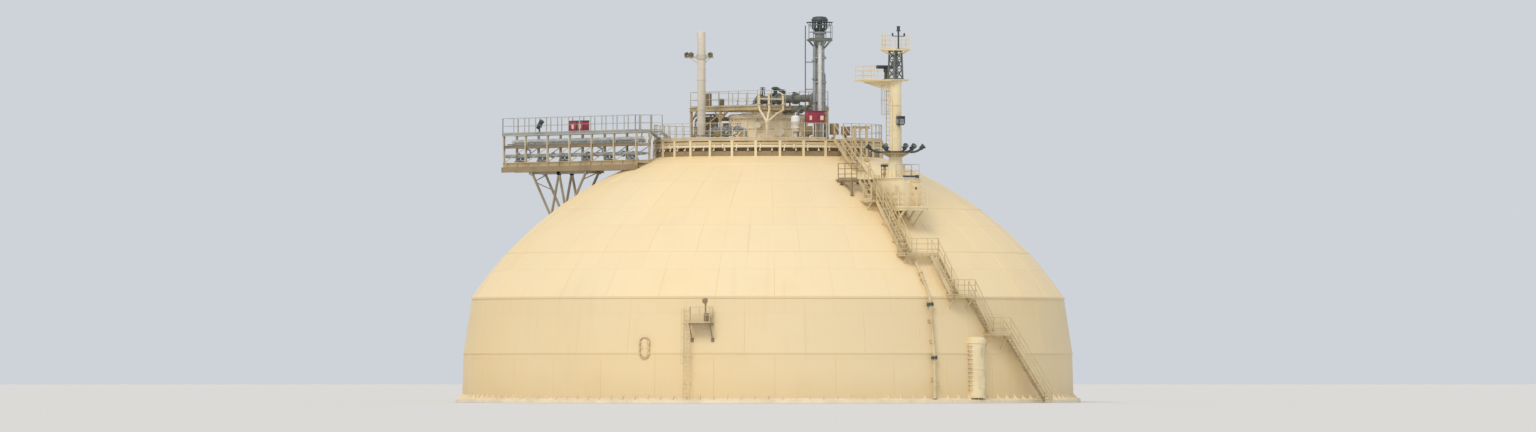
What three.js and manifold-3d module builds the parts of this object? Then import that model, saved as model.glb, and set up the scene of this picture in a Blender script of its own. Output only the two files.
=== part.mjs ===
// Domed cover of a spherical gas tank with its vent mast, foremast, walkways and stairs.
// The real cover is 44 m across its foot, so this is a 1:2 scale model, in millimetres.
// +X is forward, +Y is port, +Z is up, and the origin is at the centre of the foot.
import * as THREE from "three";
import { mergeVertices } from "three/addons/utils/BufferGeometryUtils.js";
import Module from "manifold-3d";

const wasm = await Module();
wasm.setup();

// Scale and clearances
const M = 500; // one full-size metre
const air = 0.3; // gap between neighbouring pieces
const hair = 1e-3; // keeps the outline's last arc point off the axis
const lap = 1; // how far a post runs into the plate that carries it

// The cover: foot flange, two wall bands and a sphere above the knuckle
const cover = {
  footRadius: 22.0 * M,
  footInner: 21.0 * M,
  footHeight: 0.35 * M,
  footSlope: 0.15 * M,
  footEdge: 0.21 * M,
  wallRadius: 21.5 * M,
  wall: 0.24 * M,
  lowSeam: 3.5 * M,
  lowSeamRadius: 21.4 * M,
  highSeam: 7.36 * M,
  crownSeam: 16.62 * M,
  sphereRadius: 25.0 * M,
  sphereCentre: -6.5 * M,
  segments: 48,
  zoneSteps: 7,
  crownSteps: 4,
};
const door = {
  azimuth: -58.3,
  bottom: 3.05 * M,
  width: 0.75 * M,
  height: 1.5 * M,
  proud: 0.14 * M,
  rim: 0.1 * M,
  depth: 1.0 * M,
};

// Round platform on the crown, with its legs, railing and spray main
const ring = {
  deckTop: 18.4 * M,
  plate: 0.12 * M,
  outer: 8.1 * M,
  inner: 4.5 * M,
  edgeDepth: 0.36 * M,
  edgeWidth: 0.14 * M,
  legs: 30,
  legStart: 6.9,
  legRadius: 7.72 * M,
  legSize: 0.2 * M,
  legLength: 1.8 * M,
  segments: 30,
  collarInner: 7.78 * M,
  collarOuter: 7.98 * M,
  collarLow: 17.0 * M,
  collarHigh: 17.62 * M,
  railInset: 0.1 * M,
  stairGap: 1.4 * M,
  stairY: 0.12 * M,
  walkGap: 1.5 * M,
};
const rail = { height: 1.1 * M, post: 0.06 * M, bar: 0.08 * M, spacing: 1.7 * M, inset: 0.06 * M };
const rungs = { width: 0.45 * M, spacing: 0.6 * M, stile: 0.07 * M, rung: 0.05 * M, off: 0.35 * M };
const main = { ring: 7.97 * M, radius: 0.11 * M, z: 17.88 * M, saddle: 0.16 * M, legsPerSaddle: 3 };
const turret = {
  radius: 2.6 * M,
  top: 20.05 * M,
  lidRadius: 2.8 * M,
  lidEdge: 0.12 * M,
  capRadius: 1.9 * M,
  lidHeight: 0.3 * M,
};

// Rectangular platform over the turret
const upper = {
  aft: -5.3 * M,
  fore: 3.1 * M,
  halfWidth: 3.1 * M,
  deckTop: 20.75 * M,
  plate: 0.1 * M,
  edgeDepth: 0.25 * M,
  leg: 0.16 * M,
  inset: 0.04 * M,
  postX: -1.6 * M,
  postDrop: 1.2 * M,
  gate: 0.6 * M,
};
const tree = {
  x: 4.06 * M,
  y: -2.92 * M,
  fork: 19.6 * M,
  radius: 0.13 * M,
  arm: 0.09 * M,
  armX: 3.26 * M,
  beamZ: 21.25 * M,
  beam: 0.1 * M,
  arms: [-3.05 * M, -2.2 * M, -1.0 * M],
  bend: 20.6 * M,
  top: 21.6 * M,
};
const portal = {
  x: 8.6 * M,
  y: 1.9 * M,
  width: 1.0 * M,
  top: 19.3 * M,
  post: 0.2 * M,
  postLength: 3 * M,
  beam: 0.14 * M,
  beamLength: 1.5 * M,
  beamDrop: 0.1 * M,
};
const hoseBox = {
  x: 7.1 * M,
  y: -0.95 * M,
  size: [0.9 * M, 1.0 * M, 0.85 * M],
  z: 19.5 * M,
  leg: 0.07 * M,
  legPlace: 0.4,
  roof: 0.06 * M,
  roofGrowth: 1.06,
};
const drum = {
  x: 6.35 * M,
  y: -2.1 * M,
  radius: 0.32 * M,
  bottom: 18.9 * M,
  top: 19.95 * M,
  cone: 0.12 * M,
};

// Vent mast with its header pipe
const vent = {
  x: 6.3 * M,
  trunk: 0.34 * M,
  side: 0.12 * M,
  top: 25.9 * M,
  headTop: 27.0 * M,
  headRadius: 0.56 * M,
  guardRadius: 0.95 * M,
  guardZ: 26.55 * M,
  guardBar: 0.06 * M,
  deckZ: 25.4 * M,
  deckRadius: 0.9 * M,
  deckPlate: 0.08 * M,
  bore: 0.2 * M,
  stub: 0.25 * M,
  flangePlate: 0.1 * M,
  ladderAzimuth: -125,
  tieZ: [19.8 * M, 21.9 * M, 23.8 * M],
  tie: 0.07 * M,
};
const header = {
  z: 21.3 * M,
  radius: 0.25 * M,
  start: -1.0 * M,
  flange: 0.4 * M,
  flangeX: [-1.0 * M, 0.4 * M, 1.3 * M],
  saddleX: [-0.5 * M, 2.4 * M],
  saddle: [0.2 * M, 0.5 * M],
};
const valve = { x: 0.9 * M, stem: 0.14 * M, height: 0.6 * M, cap: 0.28 * M, lever: 0.12 * M };

// Side pole with its crosstree
const pole = {
  x: -0.5 * M,
  y: -5.35 * M,
  radius: 0.285 * M,
  top: 26.0 * M,
  base: 0.15 * M,
  tieZ: [19.6 * M, 21.6 * M, 23.2 * M],
  tie: 0.06 * M,
  ladderAzimuth: -125,
  treeZ: 24.2 * M,
  treeAzimuth: 54.9,
  treeArm: [0.16 * M, 0.12 * M],
  armReach: [[-0.33 * M, -1.05 * M], [0.33 * M, 0.75 * M]],
  lampReach: [-1.0 * M, 0.7 * M],
  lamp: [0.12 * M, 0.2 * M],
};

// Walkway that reaches aft along the starboard side
const walk = {
  aft: -18.5 * M,
  fore: -1.6 * M,
  bays: 6,
  y: -9.5 * M,
  halfWidth: 0.7 * M,
  deckTop: 19.05 * M,
  plate: 0.12 * M,
  girderTop: 17.0 * M,
  girderDepth: 0.7 * M,
  beamZ: 18.1 * M,
  flange: 0.3 * M,
  crossbeam: [0.16 * M, 0.2 * M],
  post: 0.14 * M,
  rail: [0.14 * M, 0.2 * M],
  gate: -107.1,
  gateX: -2.35 * M,
  bridge: [1.4 * M, 1.05 * M],
  bridgeRun: 0.8 * M,
  bridgeStringer: [0.06 * M, 0.22 * M],
};
const trestle = {
  sole: [-15.2 * M, -7.4 * M],
  soleBar: 0.16 * M,
  struts: [[-12.4 * M, -14.8 * M], [-12.4 * M, -11.4 * M], [-10.4 * M, -11.4 * M], [-10.4 * M, -8.0 * M]],
  strut: 0.14 * M,
  depth: 3.2 * M,
  reachDown: 1.25, // struts run on into the cover, which cuts them
  crossX: [-12.4 * M, -10.4 * M, -8.0 * M],
  cross: 0.12 * M,
};
const walkPipes = {
  z: 17.45 * M,
  lines: [[-0.25 * M, 0.13 * M], [0.2 * M, 0.1 * M]],
  saddle: [0.12 * M, 0.9 * M],
};
const locker = { x: [-10.25 * M, -9.35 * M], y: 0.1 * M, size: [0.88 * M, 0.5 * M, 0.8 * M], sole: 0.06 * M };
const searchlight = { x: -14.7 * M, stem: 0.07 * M, height: 0.5 * M, lens: 0.24 * M, body: 0.12 * M };

// Foremast on its house
const house = {
  aft: 13.75 * M,
  fore: 17.35 * M,
  halfWidth: 0.75 * M,
  floor: 13.5 * M,
  top: 15.6 * M,
  roofPlate: 0.08 * M,
  roofLip: 0.05 * M,
  door: [0.08 * M, 0.7 * M, 1.6 * M],
  doorY: 0.3 * M,
  doorSill: 0.15 * M,
  ventX: 14.1 * M,
  ventStem: [0.09 * M, 0.88 * M],
  ventDiscs: [[0.25 * M, 0.28 * M, 0.36 * M], [0.28 * M, 0.78 * M, 0.92 * M]],
  deckFore: 18.0 * M,
  deckHalf: 0.95 * M,
  deckPlate: 0.18 * M,
  legX: 15.6 * M,
  legY: 0.8 * M,
  leg: 0.14 * M,
  legLength: 3 * M,
  kneeX: [16.7 * M, 17.7 * M],
  kneeRun: [2.0 * M, 1.8 * M],
  roofRailAft: [14.6 * M, 16.4 * M],
  roofRailInset: 0.08 * M,
  roofRailHeight: 0.9 * M,
};
const mast = {
  x: 15.4 * M,
  radius: 0.43 * M,
  pedestalRadius: 0.6 * M,
  dishZ: 17.2 * M,
  dishRadius: 1.0 * M,
  dishRise: 0.12 * M,
  dishLip: [0.08 * M, 0.1 * M],
  dishWell: [0.5 * M, 0.25 * M],
  crownArm: 0.1 * M,
  crownLine: [[1.05 * M, 0.17 * M], [1.5 * M, 0.24 * M], [1.88 * M, 0.5 * M]],
  lampAzimuths: [-125, -57, -14, 6, 55, 104, 167],
  lampLine: [[1.74 * M, 0.42 * M], [1.98 * M, 0.62 * M]],
  lampRadii: [0.13 * M, 0.18 * M],
  boxX: 0.62 * M,
  boxZ: 19.2 * M,
  box: [0.36 * M, 0.5 * M, 0.66 * M],
  boxArm: 0.14 * M,
  ladderFoot: 18.0 * M,
  columnTop: 22.3 * M,
  taper: 0.92,
  tieZ: [18.6 * M, 20.2 * M, 21.6 * M],
  tie: 0.06 * M,
};
const radar = {
  reach: 3.9 * M,
  fore: 0.6 * M,
  halfWidth: 0.75 * M,
  plate: 0.12 * M,
  railStart: -1.6 * M,
  railHeight: 1.0 * M,
  postSpacing: 1.2 * M,
  scannerX: -1.1 * M,
  stem: 0.14 * M,
  stemHeight: 0.8 * M,
  bar: [0.3 * M, 1.6 * M, 0.24 * M],
};
const topMast = {
  deckZ: 24.5 * M,
  deckPlate: 0.1 * M,
  deckRadius: 1.05 * M,
  spreadLow: 0.36 * M,
  spreadHigh: 0.3 * M,
  leg: 0.1 * M,
  brace: 0.07 * M,
  railing: [[0.3 * M, 0.85 * M], [-0.85 * M, 0.5 * M], [-0.85 * M, -0.5 * M], [0.3 * M, -0.85 * M]],
  railHeight: 1.0 * M,
  lightX: 0.35 * M,
  lightStem: 0.07 * M,
  lens: [0.13 * M, 0.1 * M, 0.35 * M],
  tip: 26.1 * M,
};

// Stairs down the front of the cover
const stair = {
  width: 0.8 * M,
  stringer: 0.3 * M,
  web: 0.06 * M,
  tread: 0.2 * M,
  treadPlate: 0.05 * M,
  rise: 0.3 * M,
};
const flights = {
  ring_stair: { from: [8.2, 0.3, 18.36], to: [11.4, 0.3, 15.5] },
  shoulder_stair: { from: [13.72, -1.5, 15.42], to: [15.1, -1.5, 14.05] },
  stair_flight_1: { from: [15.76, -1.45, 13.95], to: [18.8, -1.45, 10.25] },
  stair_flight_2: { from: [19.66, 0.3, 10.17], to: [21.2, 0.9, 7.4] },
  stair_flight_3: { from: [21.2, 2.34, 7.32], to: [21.2, 3.9, 4.8] },
  stair_flight_4: { from: [21.2, 5.34, 4.72], to: [20.9, 9.1, 0.0] },
};
const landings = {
  shoulder_landing: { x: 15.15, y: -1.6, z: 14.05, sizeX: 1.1, sizeY: 1.3, sides: ["starboard"] },
  landing_1: { x: 19.05, y: -0.7, z: 10.25, sizeX: 1.1, sizeY: 2.9, sides: ["starboard"] },
  landing_2: { x: 21.25, y: 1.35, z: 7.4, sizeX: 1.0, sizeY: 1.9, sides: ["forward"] },
  landing_3: { x: 21.3, y: 4.4, z: 4.8, sizeX: 1.0, sizeY: 1.8, sides: ["forward"] },
};
const landing = {
  plate: 0.1 * M,
  bracketPlace: 0.8,
  arm: 0.1 * M,
  armReach: 0.6 * M,
  brace: 0.09 * M,
  braceReach: 0.5 * M,
  braceDrop: 1.5 * M,
  postSpacing: 0.8 * M,
};
const shoulder = {
  aft: 11.6 * M,
  fore: 13.65 * M,
  starboard: -2.5 * M,
  port: 1.3 * M,
  top: 15.5 * M,
  beam: [0.1 * M, 0.25 * M],
  beamInset: 0.1 * M,
  railStart: 0.4 * M,
  post: 0.14 * M,
  postY: [-2.4 * M, -1.0 * M, 1.2 * M],
  postLength: 3 * M,
};

// Side fittings on the wall
const sidePipe = {
  azimuth: -3.2,
  radius: 0.12 * M,
  off: 0.3 * M,
  heights: [9.9 * M, 8.6 * M, 7.36 * M, 5.4 * M, 3.5 * M, 0.6 * M],
  shoeTop: 0.7 * M,
  flange: 0.24 * M,
  flangeHalf: 0.08 * M,
  flangeZ: [6.8 * M, 3.13 * M],
  clip: 0.1 * M,
  clipZ: [8.9 * M, 5.6 * M, 1.6 * M],
  rooted: 0.3 * M,
};
const lightDeck = {
  azimuth: -47.2,
  z: 5.5 * M,
  reach: 1.2 * M,
  width: 1.5 * M,
  plate: 0.1 * M,
  braceDrop: 1.4 * M,
  ladderOff: 0.45 * M,
  ladderSide: 0.25 * M,
  tie: 0.08 * M,
};
const trunk = { azimuth: 7, radius: 0.6 * M, top: 4.6 * M, set: 0.05 * M };

// Paints
function paint(colour, roughness, metalness) {
  return new THREE.MeshStandardMaterial({ color: colour, roughness, metalness });
}
const creamHigh = () => paint(0xfce4b2, 0.6, 0.0);
const creamLow = () => paint(0xecd4a0, 0.62, 0.0);
const steelTan = () => paint(0xc8b48c, 0.6, 0.1);
const ventGrey = () => paint(0x6e7d78, 0.55, 0.2);
const lampDark = () => paint(0x4a5250, 0.5, 0.3);
const boxRed = () => paint(0xa53c55, 0.5, 0.0);
const drumWhite = () => paint(0xf2f2ee, 0.45, 0.0);

// Closes a geometry into a solid: vertices merged, flat triangles dropped, faces outwards
function toSolid(geometry) {
  const bare = geometry.clone();
  bare.deleteAttribute("normal");
  bare.deleteAttribute("uv");
  const merged = mergeVertices(bare, 1e-3);
  const points = merged.attributes.position.array;
  const corner = (i) => new THREE.Vector3().fromArray(points, 3 * i);
  const kept = [];
  let volume = 0;
  for (let i = 0; i < merged.index.count; i += 3) {
    const [a, b, c] = [0, 1, 2].map((k) => merged.index.getX(i + k));
    if (a === b || b === c || c === a) continue;
    kept.push(a, b, c);
    volume += corner(a).dot(corner(b).cross(corner(c)));
  }
  if (volume < 0) kept.reverse();
  const mesh = new wasm.Mesh({ numProp: 3, vertProperties: points, triVerts: new Uint32Array(kept) });
  return new wasm.Manifold(mesh);
}

const join = (...solids) => wasm.Manifold.union(solids.flat());

// A named mesh of one solid
function piece(name, solid, material) {
  const { vertProperties, triVerts } = solid.getMesh();
  const geometry = new THREE.BufferGeometry();
  geometry.setAttribute("position", new THREE.BufferAttribute(new Float32Array(vertProperties), 3));
  geometry.setIndex(new THREE.BufferAttribute(new Uint32Array(triVerts), 1));
  geometry.computeVertexNormals();
  const mesh = new THREE.Mesh(geometry, material);
  mesh.name = name;
  return mesh;
}

// A box standing on z, centred on x and y
function block(sizeX, sizeY, sizeZ, x = 0, y = 0, z = 0) {
  return toSolid(new THREE.BoxGeometry(sizeX, sizeY, sizeZ).translate(x, y, z + sizeZ / 2));
}

// Lays a geometry whose length is along its z axis from one point to another
function laid(geometry, from, to) {
  const start = new THREE.Vector3(...from);
  const end = new THREE.Vector3(...to);
  const along = end.clone().sub(start).normalize();
  const steep = Math.abs(along.z) > 0.999;
  const side = steep ? new THREE.Vector3(1, 0, 0) : new THREE.Vector3(0, 0, 1).cross(along).normalize();
  const top = along.clone().cross(side);
  const frame = new THREE.Matrix4().makeBasis(side, top, along);
  frame.setPosition(start.add(end).multiplyScalar(0.5));
  return toSolid(geometry.applyMatrix4(frame));
}

const reach = (from, to) => new THREE.Vector3(...from).distanceTo(new THREE.Vector3(...to));

function bar(from, to, width, depth = width) {
  return laid(new THREE.BoxGeometry(width, depth, reach(from, to)), from, to);
}

function rod(from, to, radius, sides = 8, endRadius = radius) {
  const geometry = new THREE.CylinderGeometry(endRadius, radius, reach(from, to), sides);
  return laid(geometry.rotateX(Math.PI / 2), from, to);
}

// A solid turned about the z axis from an outline of [radius, z] points
function turned(outline, segments = cover.segments, start = 0, sweep = 2 * Math.PI) {
  const points = outline.map(([r, z]) => new THREE.Vector2(r, z));
  return toSolid(new THREE.LatheGeometry(points, segments, start, sweep).rotateX(Math.PI / 2));
}

const closed = (outline) => [...outline, outline[0]];

// A flat ring of rectangular section
function hoop(inner, outer, z, height, segments) {
  const section = [[inner, z], [outer, z], [outer, z + height], [inner, z + height]];
  return turned(closed(section), segments);
}

// A point on the circle of a radius at an azimuth in degrees
function around(radius, azimuth, z = 0) {
  const a = THREE.MathUtils.degToRad(azimuth);
  return [radius * Math.cos(a), radius * Math.sin(a), z];
}

const domeRadius = (z) => Math.sqrt(cover.sphereRadius ** 2 - (z - cover.sphereCentre) ** 2);
const domeHeight = (radius) => cover.sphereCentre + Math.sqrt(cover.sphereRadius ** 2 - radius ** 2);

// Points of a sphere's outline between two heights
function sphereArc(radius, fromZ, toZ, steps) {
  const angle = (z) => Math.asin((z - cover.sphereCentre) / radius);
  return Array.from({ length: steps + 1 }, (_, i) => {
    const a = THREE.MathUtils.lerp(angle(fromZ), angle(toZ), i / steps);
    return [radius * Math.cos(a), cover.sphereCentre + radius * Math.sin(a)];
  });
}

// The outside of the cover, raised by the air gap, for cutting what stands on it
const highRadius = domeRadius(cover.highSeam);
const crownTop = cover.sphereCentre + cover.sphereRadius;
const domeShape = turned([
  [0, -M],
  [cover.wallRadius + air, -M],
  [cover.wallRadius + air, cover.footHeight],
  [cover.lowSeamRadius + air, cover.lowSeam],
  [highRadius + air, cover.highSeam],
  ...sphereArc(cover.sphereRadius + air, cover.highSeam, cover.crownSeam, cover.zoneSteps).slice(1),
  ...sphereArc(cover.sphereRadius + air, cover.crownSeam, crownTop + air - hair, cover.crownSteps)
    .slice(1, -1),
  [0, crownTop + air],
]);

// Cuts a solid, given in a turned group's own frame, where it meets the cover
function onCover(solid, place = [0, 0, 0], turn = 0) {
  const shape = domeShape.translate(place.map((v) => -v)).rotate([0, 0, -turn]);
  return solid.subtract(shape);
}

// The far end of a line, moved on by a length
function stretched(from, to, length) {
  const share = 1 + length / reach(from, to);
  return from.map((v, axis) => THREE.MathUtils.lerp(v, to[axis], share));
}

// A handrail of posts and bars along points at deck level
function railing(points, height = rail.height, spacing = rail.spacing, bars = [1]) {
  const solids = [];
  const lift = ([x, y, z], h) => [x, y, z + h];
  points.slice(1).forEach((end, i) => {
    const start = points[i];
    const posts = Math.max(1, Math.round(reach(start, end) / spacing));
    for (let k = i === 0 ? 0 : 1; k <= posts; k += 1) {
      const foot = start.map((v, axis) => THREE.MathUtils.lerp(v, end[axis], k / posts));
      solids.push(bar(foot, lift(foot, height), rail.post));
    }
    const size = rail.bar * (i % 2 ? 0.85 : 1); // bars that meet at a corner differ a little
    for (const h of bars) {
      const [low, high] = [lift(start, h * height), lift(end, h * height)];
      solids.push(bar(low, stretched(low, high, 0.3 * rail.post), size));
    }
  });
  return join(solids);
}

// A ladder of two stiles and its rungs, facing along a direction given by the azimuth
function ladder(foot, top, azimuth) {
  const side = around(rungs.width / 2, azimuth + 90);
  const shift = (p, s) => p.map((v, axis) => v + s * side[axis]);
  const solids = [1, -1].map((s) => bar(shift(foot, s), shift(top, s), rungs.stile));
  const count = Math.floor(reach(foot, top) / rungs.spacing);
  for (let i = 1; i < count; i += 1) {
    const at = foot.map((v, axis) => THREE.MathUtils.lerp(v, top[axis], i / count));
    solids.push(bar(shift(at, 1), shift(at, -1), rungs.rung));
  }
  return join(solids);
}

// A flight between two points, with stringers, treads and a handrail on each side
function flight(from, to) {
  const run = new THREE.Vector3(to[0] - from[0], to[1] - from[1], 0).normalize();
  const side = new THREE.Vector3(-run.y, run.x, 0).multiplyScalar(stair.width / 2);
  const shift = (p, s, h = 0) => [p[0] + s * side.x, p[1] + s * side.y, p[2] + h];
  const solids = [];
  for (const s of [1, -1]) {
    solids.push(bar(shift(from, s), shift(to, s), stair.web, stair.stringer));
    const posts = Math.max(2, Math.round(reach(from, to) / rail.spacing));
    for (let i = 0; i <= posts; i += 1) {
      const foot = from.map((v, axis) => THREE.MathUtils.lerp(v, to[axis], i / posts));
      solids.push(bar(shift(foot, s), shift(foot, s, rail.height), rail.post));
    }
    solids.push(bar(shift(from, s, rail.height), shift(to, s, rail.height), rail.bar));
  }
  const treads = Math.round((from[2] - to[2]) / stair.rise);
  const angle = THREE.MathUtils.radToDeg(Math.atan2(run.y, run.x));
  for (let i = 1; i < treads; i += 1) {
    const at = from.map((v, axis) => THREE.MathUtils.lerp(v, to[axis], i / treads));
    const tread = block(stair.tread, stair.width, stair.treadPlate).rotate([0, 0, angle]).translate(at);
    solids.push(tread);
  }
  return join(solids);
}

// Landing on the cover: plate, brackets and a railing on its open sides
function landingSolid(position, sizeX, sizeY, railedSides) {
  const [halfX, halfY] = [sizeX / 2, sizeY / 2];
  const { plate, arm, armReach, brace, braceReach, braceDrop } = landing;
  const { inset } = rail;
  const solids = [block(sizeX, sizeY, plate, 0, 0, -plate)];
  for (const y of [-landing.bracketPlace * halfY, landing.bracketPlace * halfY]) {
    const tip = [halfX - inset, y, -plate / 2];
    solids.push(bar([-halfX - armReach, y, -plate / 2], tip, arm));
    solids.push(bar(tip, [-halfX - braceReach, y, -braceDrop], brace));
  }
  const corners = {
    starboard: [[-halfX + inset, -halfY + inset, 0], [halfX - inset, -halfY + inset, 0]],
    forward: [[halfX - inset, -halfY + inset, 0], [halfX - inset, halfY - inset, 0]],
    port: [[halfX - inset, halfY - inset, 0], [-halfX + inset, halfY - inset, 0]],
  };
  for (const side of railedSides) {
    const sunk = corners[side].map(([x, y, z]) => [x, y, z - plate / 2]);
    solids.push(railing(sunk, rail.height + plate / 2, landing.postSpacing));
  }
  return onCover(join(solids), position);
}

// Shell of the cover

function coverPieces() {
  const { wall, footHeight, lowSeam, highSeam, crownSeam, sphereRadius } = cover;
  const innerSphere = sphereRadius - wall;
  const baseRing = turned(closed([
    [cover.footInner, 0],
    [cover.footRadius, 0],
    [cover.footRadius, cover.footEdge],
    [cover.footRadius - cover.footSlope, footHeight - air],
    [cover.footInner, footHeight - air],
  ]));
  const lowerBand = turned(closed([
    [cover.wallRadius - wall, footHeight],
    [cover.wallRadius, footHeight],
    [cover.lowSeamRadius, lowSeam - air],
    [cover.lowSeamRadius - wall, lowSeam - air],
  ]));
  const knuckleBand = turned(closed([
    [cover.lowSeamRadius - wall, lowSeam],
    [cover.lowSeamRadius, lowSeam],
    [highRadius, highSeam - air],
    [highRadius - wall, highSeam - air],
  ]));
  const sphereZone = turned(closed([
    ...sphereArc(sphereRadius, highSeam, crownSeam - air, cover.zoneSteps),
    ...sphereArc(innerSphere, crownSeam - air, highSeam, cover.zoneSteps - 2),
  ]));
  const innerTop = cover.sphereCentre + innerSphere;
  const crownCap = turned([
    [0, innerTop],
    ...sphereArc(innerSphere, crownSeam, innerTop - hair, cover.crownSteps - 1).reverse().slice(1),
    ...sphereArc(sphereRadius, crownSeam, crownTop - hair, cover.crownSteps).slice(0, -1),
    [0, crownTop],
  ]);
  return [
    piece("base_ring", baseRing, creamLow()),
    piece("lower_band", lowerBand, creamLow()),
    piece("knuckle_band", knuckleBand, creamLow()),
    piece("sphere_zone", sphereZone, creamHigh()),
    piece("crown_cap", crownCap, creamHigh()),
  ];
}

// Oval access door: a rounded frame and leaf standing a little proud of the wall
function ovalDoor() {
  const stadium = (width, height) => {
    const shape = new THREE.Shape();
    const r = width / 2;
    shape.moveTo(r, r);
    shape.lineTo(r, height - r);
    shape.absarc(0, height - r, r, 0, Math.PI);
    shape.lineTo(-r, r);
    shape.absarc(0, r, r, Math.PI, 2 * Math.PI);
    return shape;
  };
  const slab = (width, height, depth, lift) => {
    const options = { depth, bevelEnabled: false, curveSegments: 6 };
    const geometry = new THREE.ExtrudeGeometry(stadium(width, height), options);
    return toSolid(geometry.rotateX(Math.PI / 2).rotateZ(Math.PI / 2).translate(0, 0, lift));
  };
  const { rim, depth, proud } = door;
  const frame = slab(door.width, door.height, depth, 0).translate([-depth / 2, 0, 0]);
  const leaf = slab(door.width - 2 * rim, door.height - 2 * rim, depth, rim);
  const recessed = frame.subtract(leaf.translate([(depth - 0.8 * proud) / 2, 0, 0]));
  const radius = cover.lowSeamRadius + proud - depth / 2;
  const [x, y] = around(radius, door.azimuth);
  const position = [x, y, door.bottom];
  const mesh = piece("oval_door", onCover(recessed, position, door.azimuth), creamLow());
  mesh.position.set(...position);
  mesh.rotation.z = THREE.MathUtils.degToRad(door.azimuth);
  return mesh;
}

// Top of the cover

function turretPieces() {
  const { top, lidEdge, lidHeight } = turret;
  const foot = domeHeight(turret.radius) - M;
  const drumSolid = onCover(rod([0, 0, foot], [0, 0, top - air], turret.radius, 32));
  const lid = join(
    rod([0, 0, top], [0, 0, top + lidEdge], turret.lidRadius, 32),
    rod([0, 0, top + lidEdge / 2], [0, 0, top + lidHeight], turret.capRadius, 24),
  );
  return [piece("turret_drum", drumSolid, steelTan()), piece("turret_lid", lid, steelTan())];
}

function ringPieces() {
  const { deckTop, plate, outer, inner, edgeDepth, edgeWidth, segments } = ring;
  const solids = [
    hoop(inner, outer, deckTop - plate, plate, segments),
    hoop(outer - edgeWidth, outer, deckTop - edgeDepth, edgeDepth, segments),
    hoop(ring.collarInner, ring.collarOuter, ring.collarLow, ring.collarHigh - ring.collarLow, segments),
  ];
  const step = 360 / ring.legs;
  const azimuths = Array.from({ length: ring.legs }, (_, i) => ring.legStart + step * i);
  for (const azimuth of azimuths) {
    const [x, y] = around(ring.legRadius, azimuth);
    const leg = block(ring.legSize, ring.legSize, ring.legLength).rotate([0, 0, azimuth]);
    solids.push(leg.translate([x, y, deckTop - plate / 2 - ring.legLength]));
  }
  const platform = onCover(join(solids));

  // The railing is left open where the walkway and the stair arrive
  const railRadius = outer - ring.railInset;
  const railTop = deckTop + rail.height;
  const arcs = [hoop(railRadius - rail.bar / 2, railRadius + rail.bar / 2, railTop - rail.bar, rail.bar,
    segments)];
  for (const azimuth of azimuths) {
    const post = around(railRadius, azimuth, deckTop + air);
    arcs.push(bar(post, around(railRadius, azimuth, railTop - rail.bar / 2), rail.post));
  }
  const gap = (width) => block(M, width, M);
  const stairGap = gap(ring.stairGap).translate([railRadius, ring.stairY, railTop - M / 2]);
  const [gateX, gateY] = around(railRadius, walk.gate);
  const walkGap = gap(ring.walkGap).rotate([0, 0, walk.gate]).translate([gateX, gateY, railTop - M / 2]);
  const [portRailing, starboardRailing] = join(arcs).subtract(stairGap).subtract(walkGap).decompose();
  const saddles = [];
  for (let i = 0; i < ring.legs; i += main.legsPerSaddle) {
    const face = ring.legRadius + ring.legSize / 2 + air;
    const half = (main.ring - face) / 2;
    const [x, y] = around(face + half, azimuths[i]);
    const saddle = block(2 * half, main.saddle, main.saddle).rotate([0, 0, azimuths[i]]);
    saddles.push(saddle.translate([x, y, main.z - main.saddle / 2]));
  }
  const section = Array.from({ length: 7 }, (_, i) => {
    const a = (i * Math.PI) / 3;
    return [main.ring + main.radius * Math.cos(a), main.z + main.radius * Math.sin(a)];
  });
  const mainPipe = join(turned(section, segments), saddles);
  return [
    piece("ring_platform", platform, steelTan()),
    piece("ring_railing_port", portRailing, steelTan()),
    piece("ring_railing_starboard", starboardRailing, steelTan()),
    piece("ring_main", mainPipe, steelTan()),
  ];
}

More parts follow.
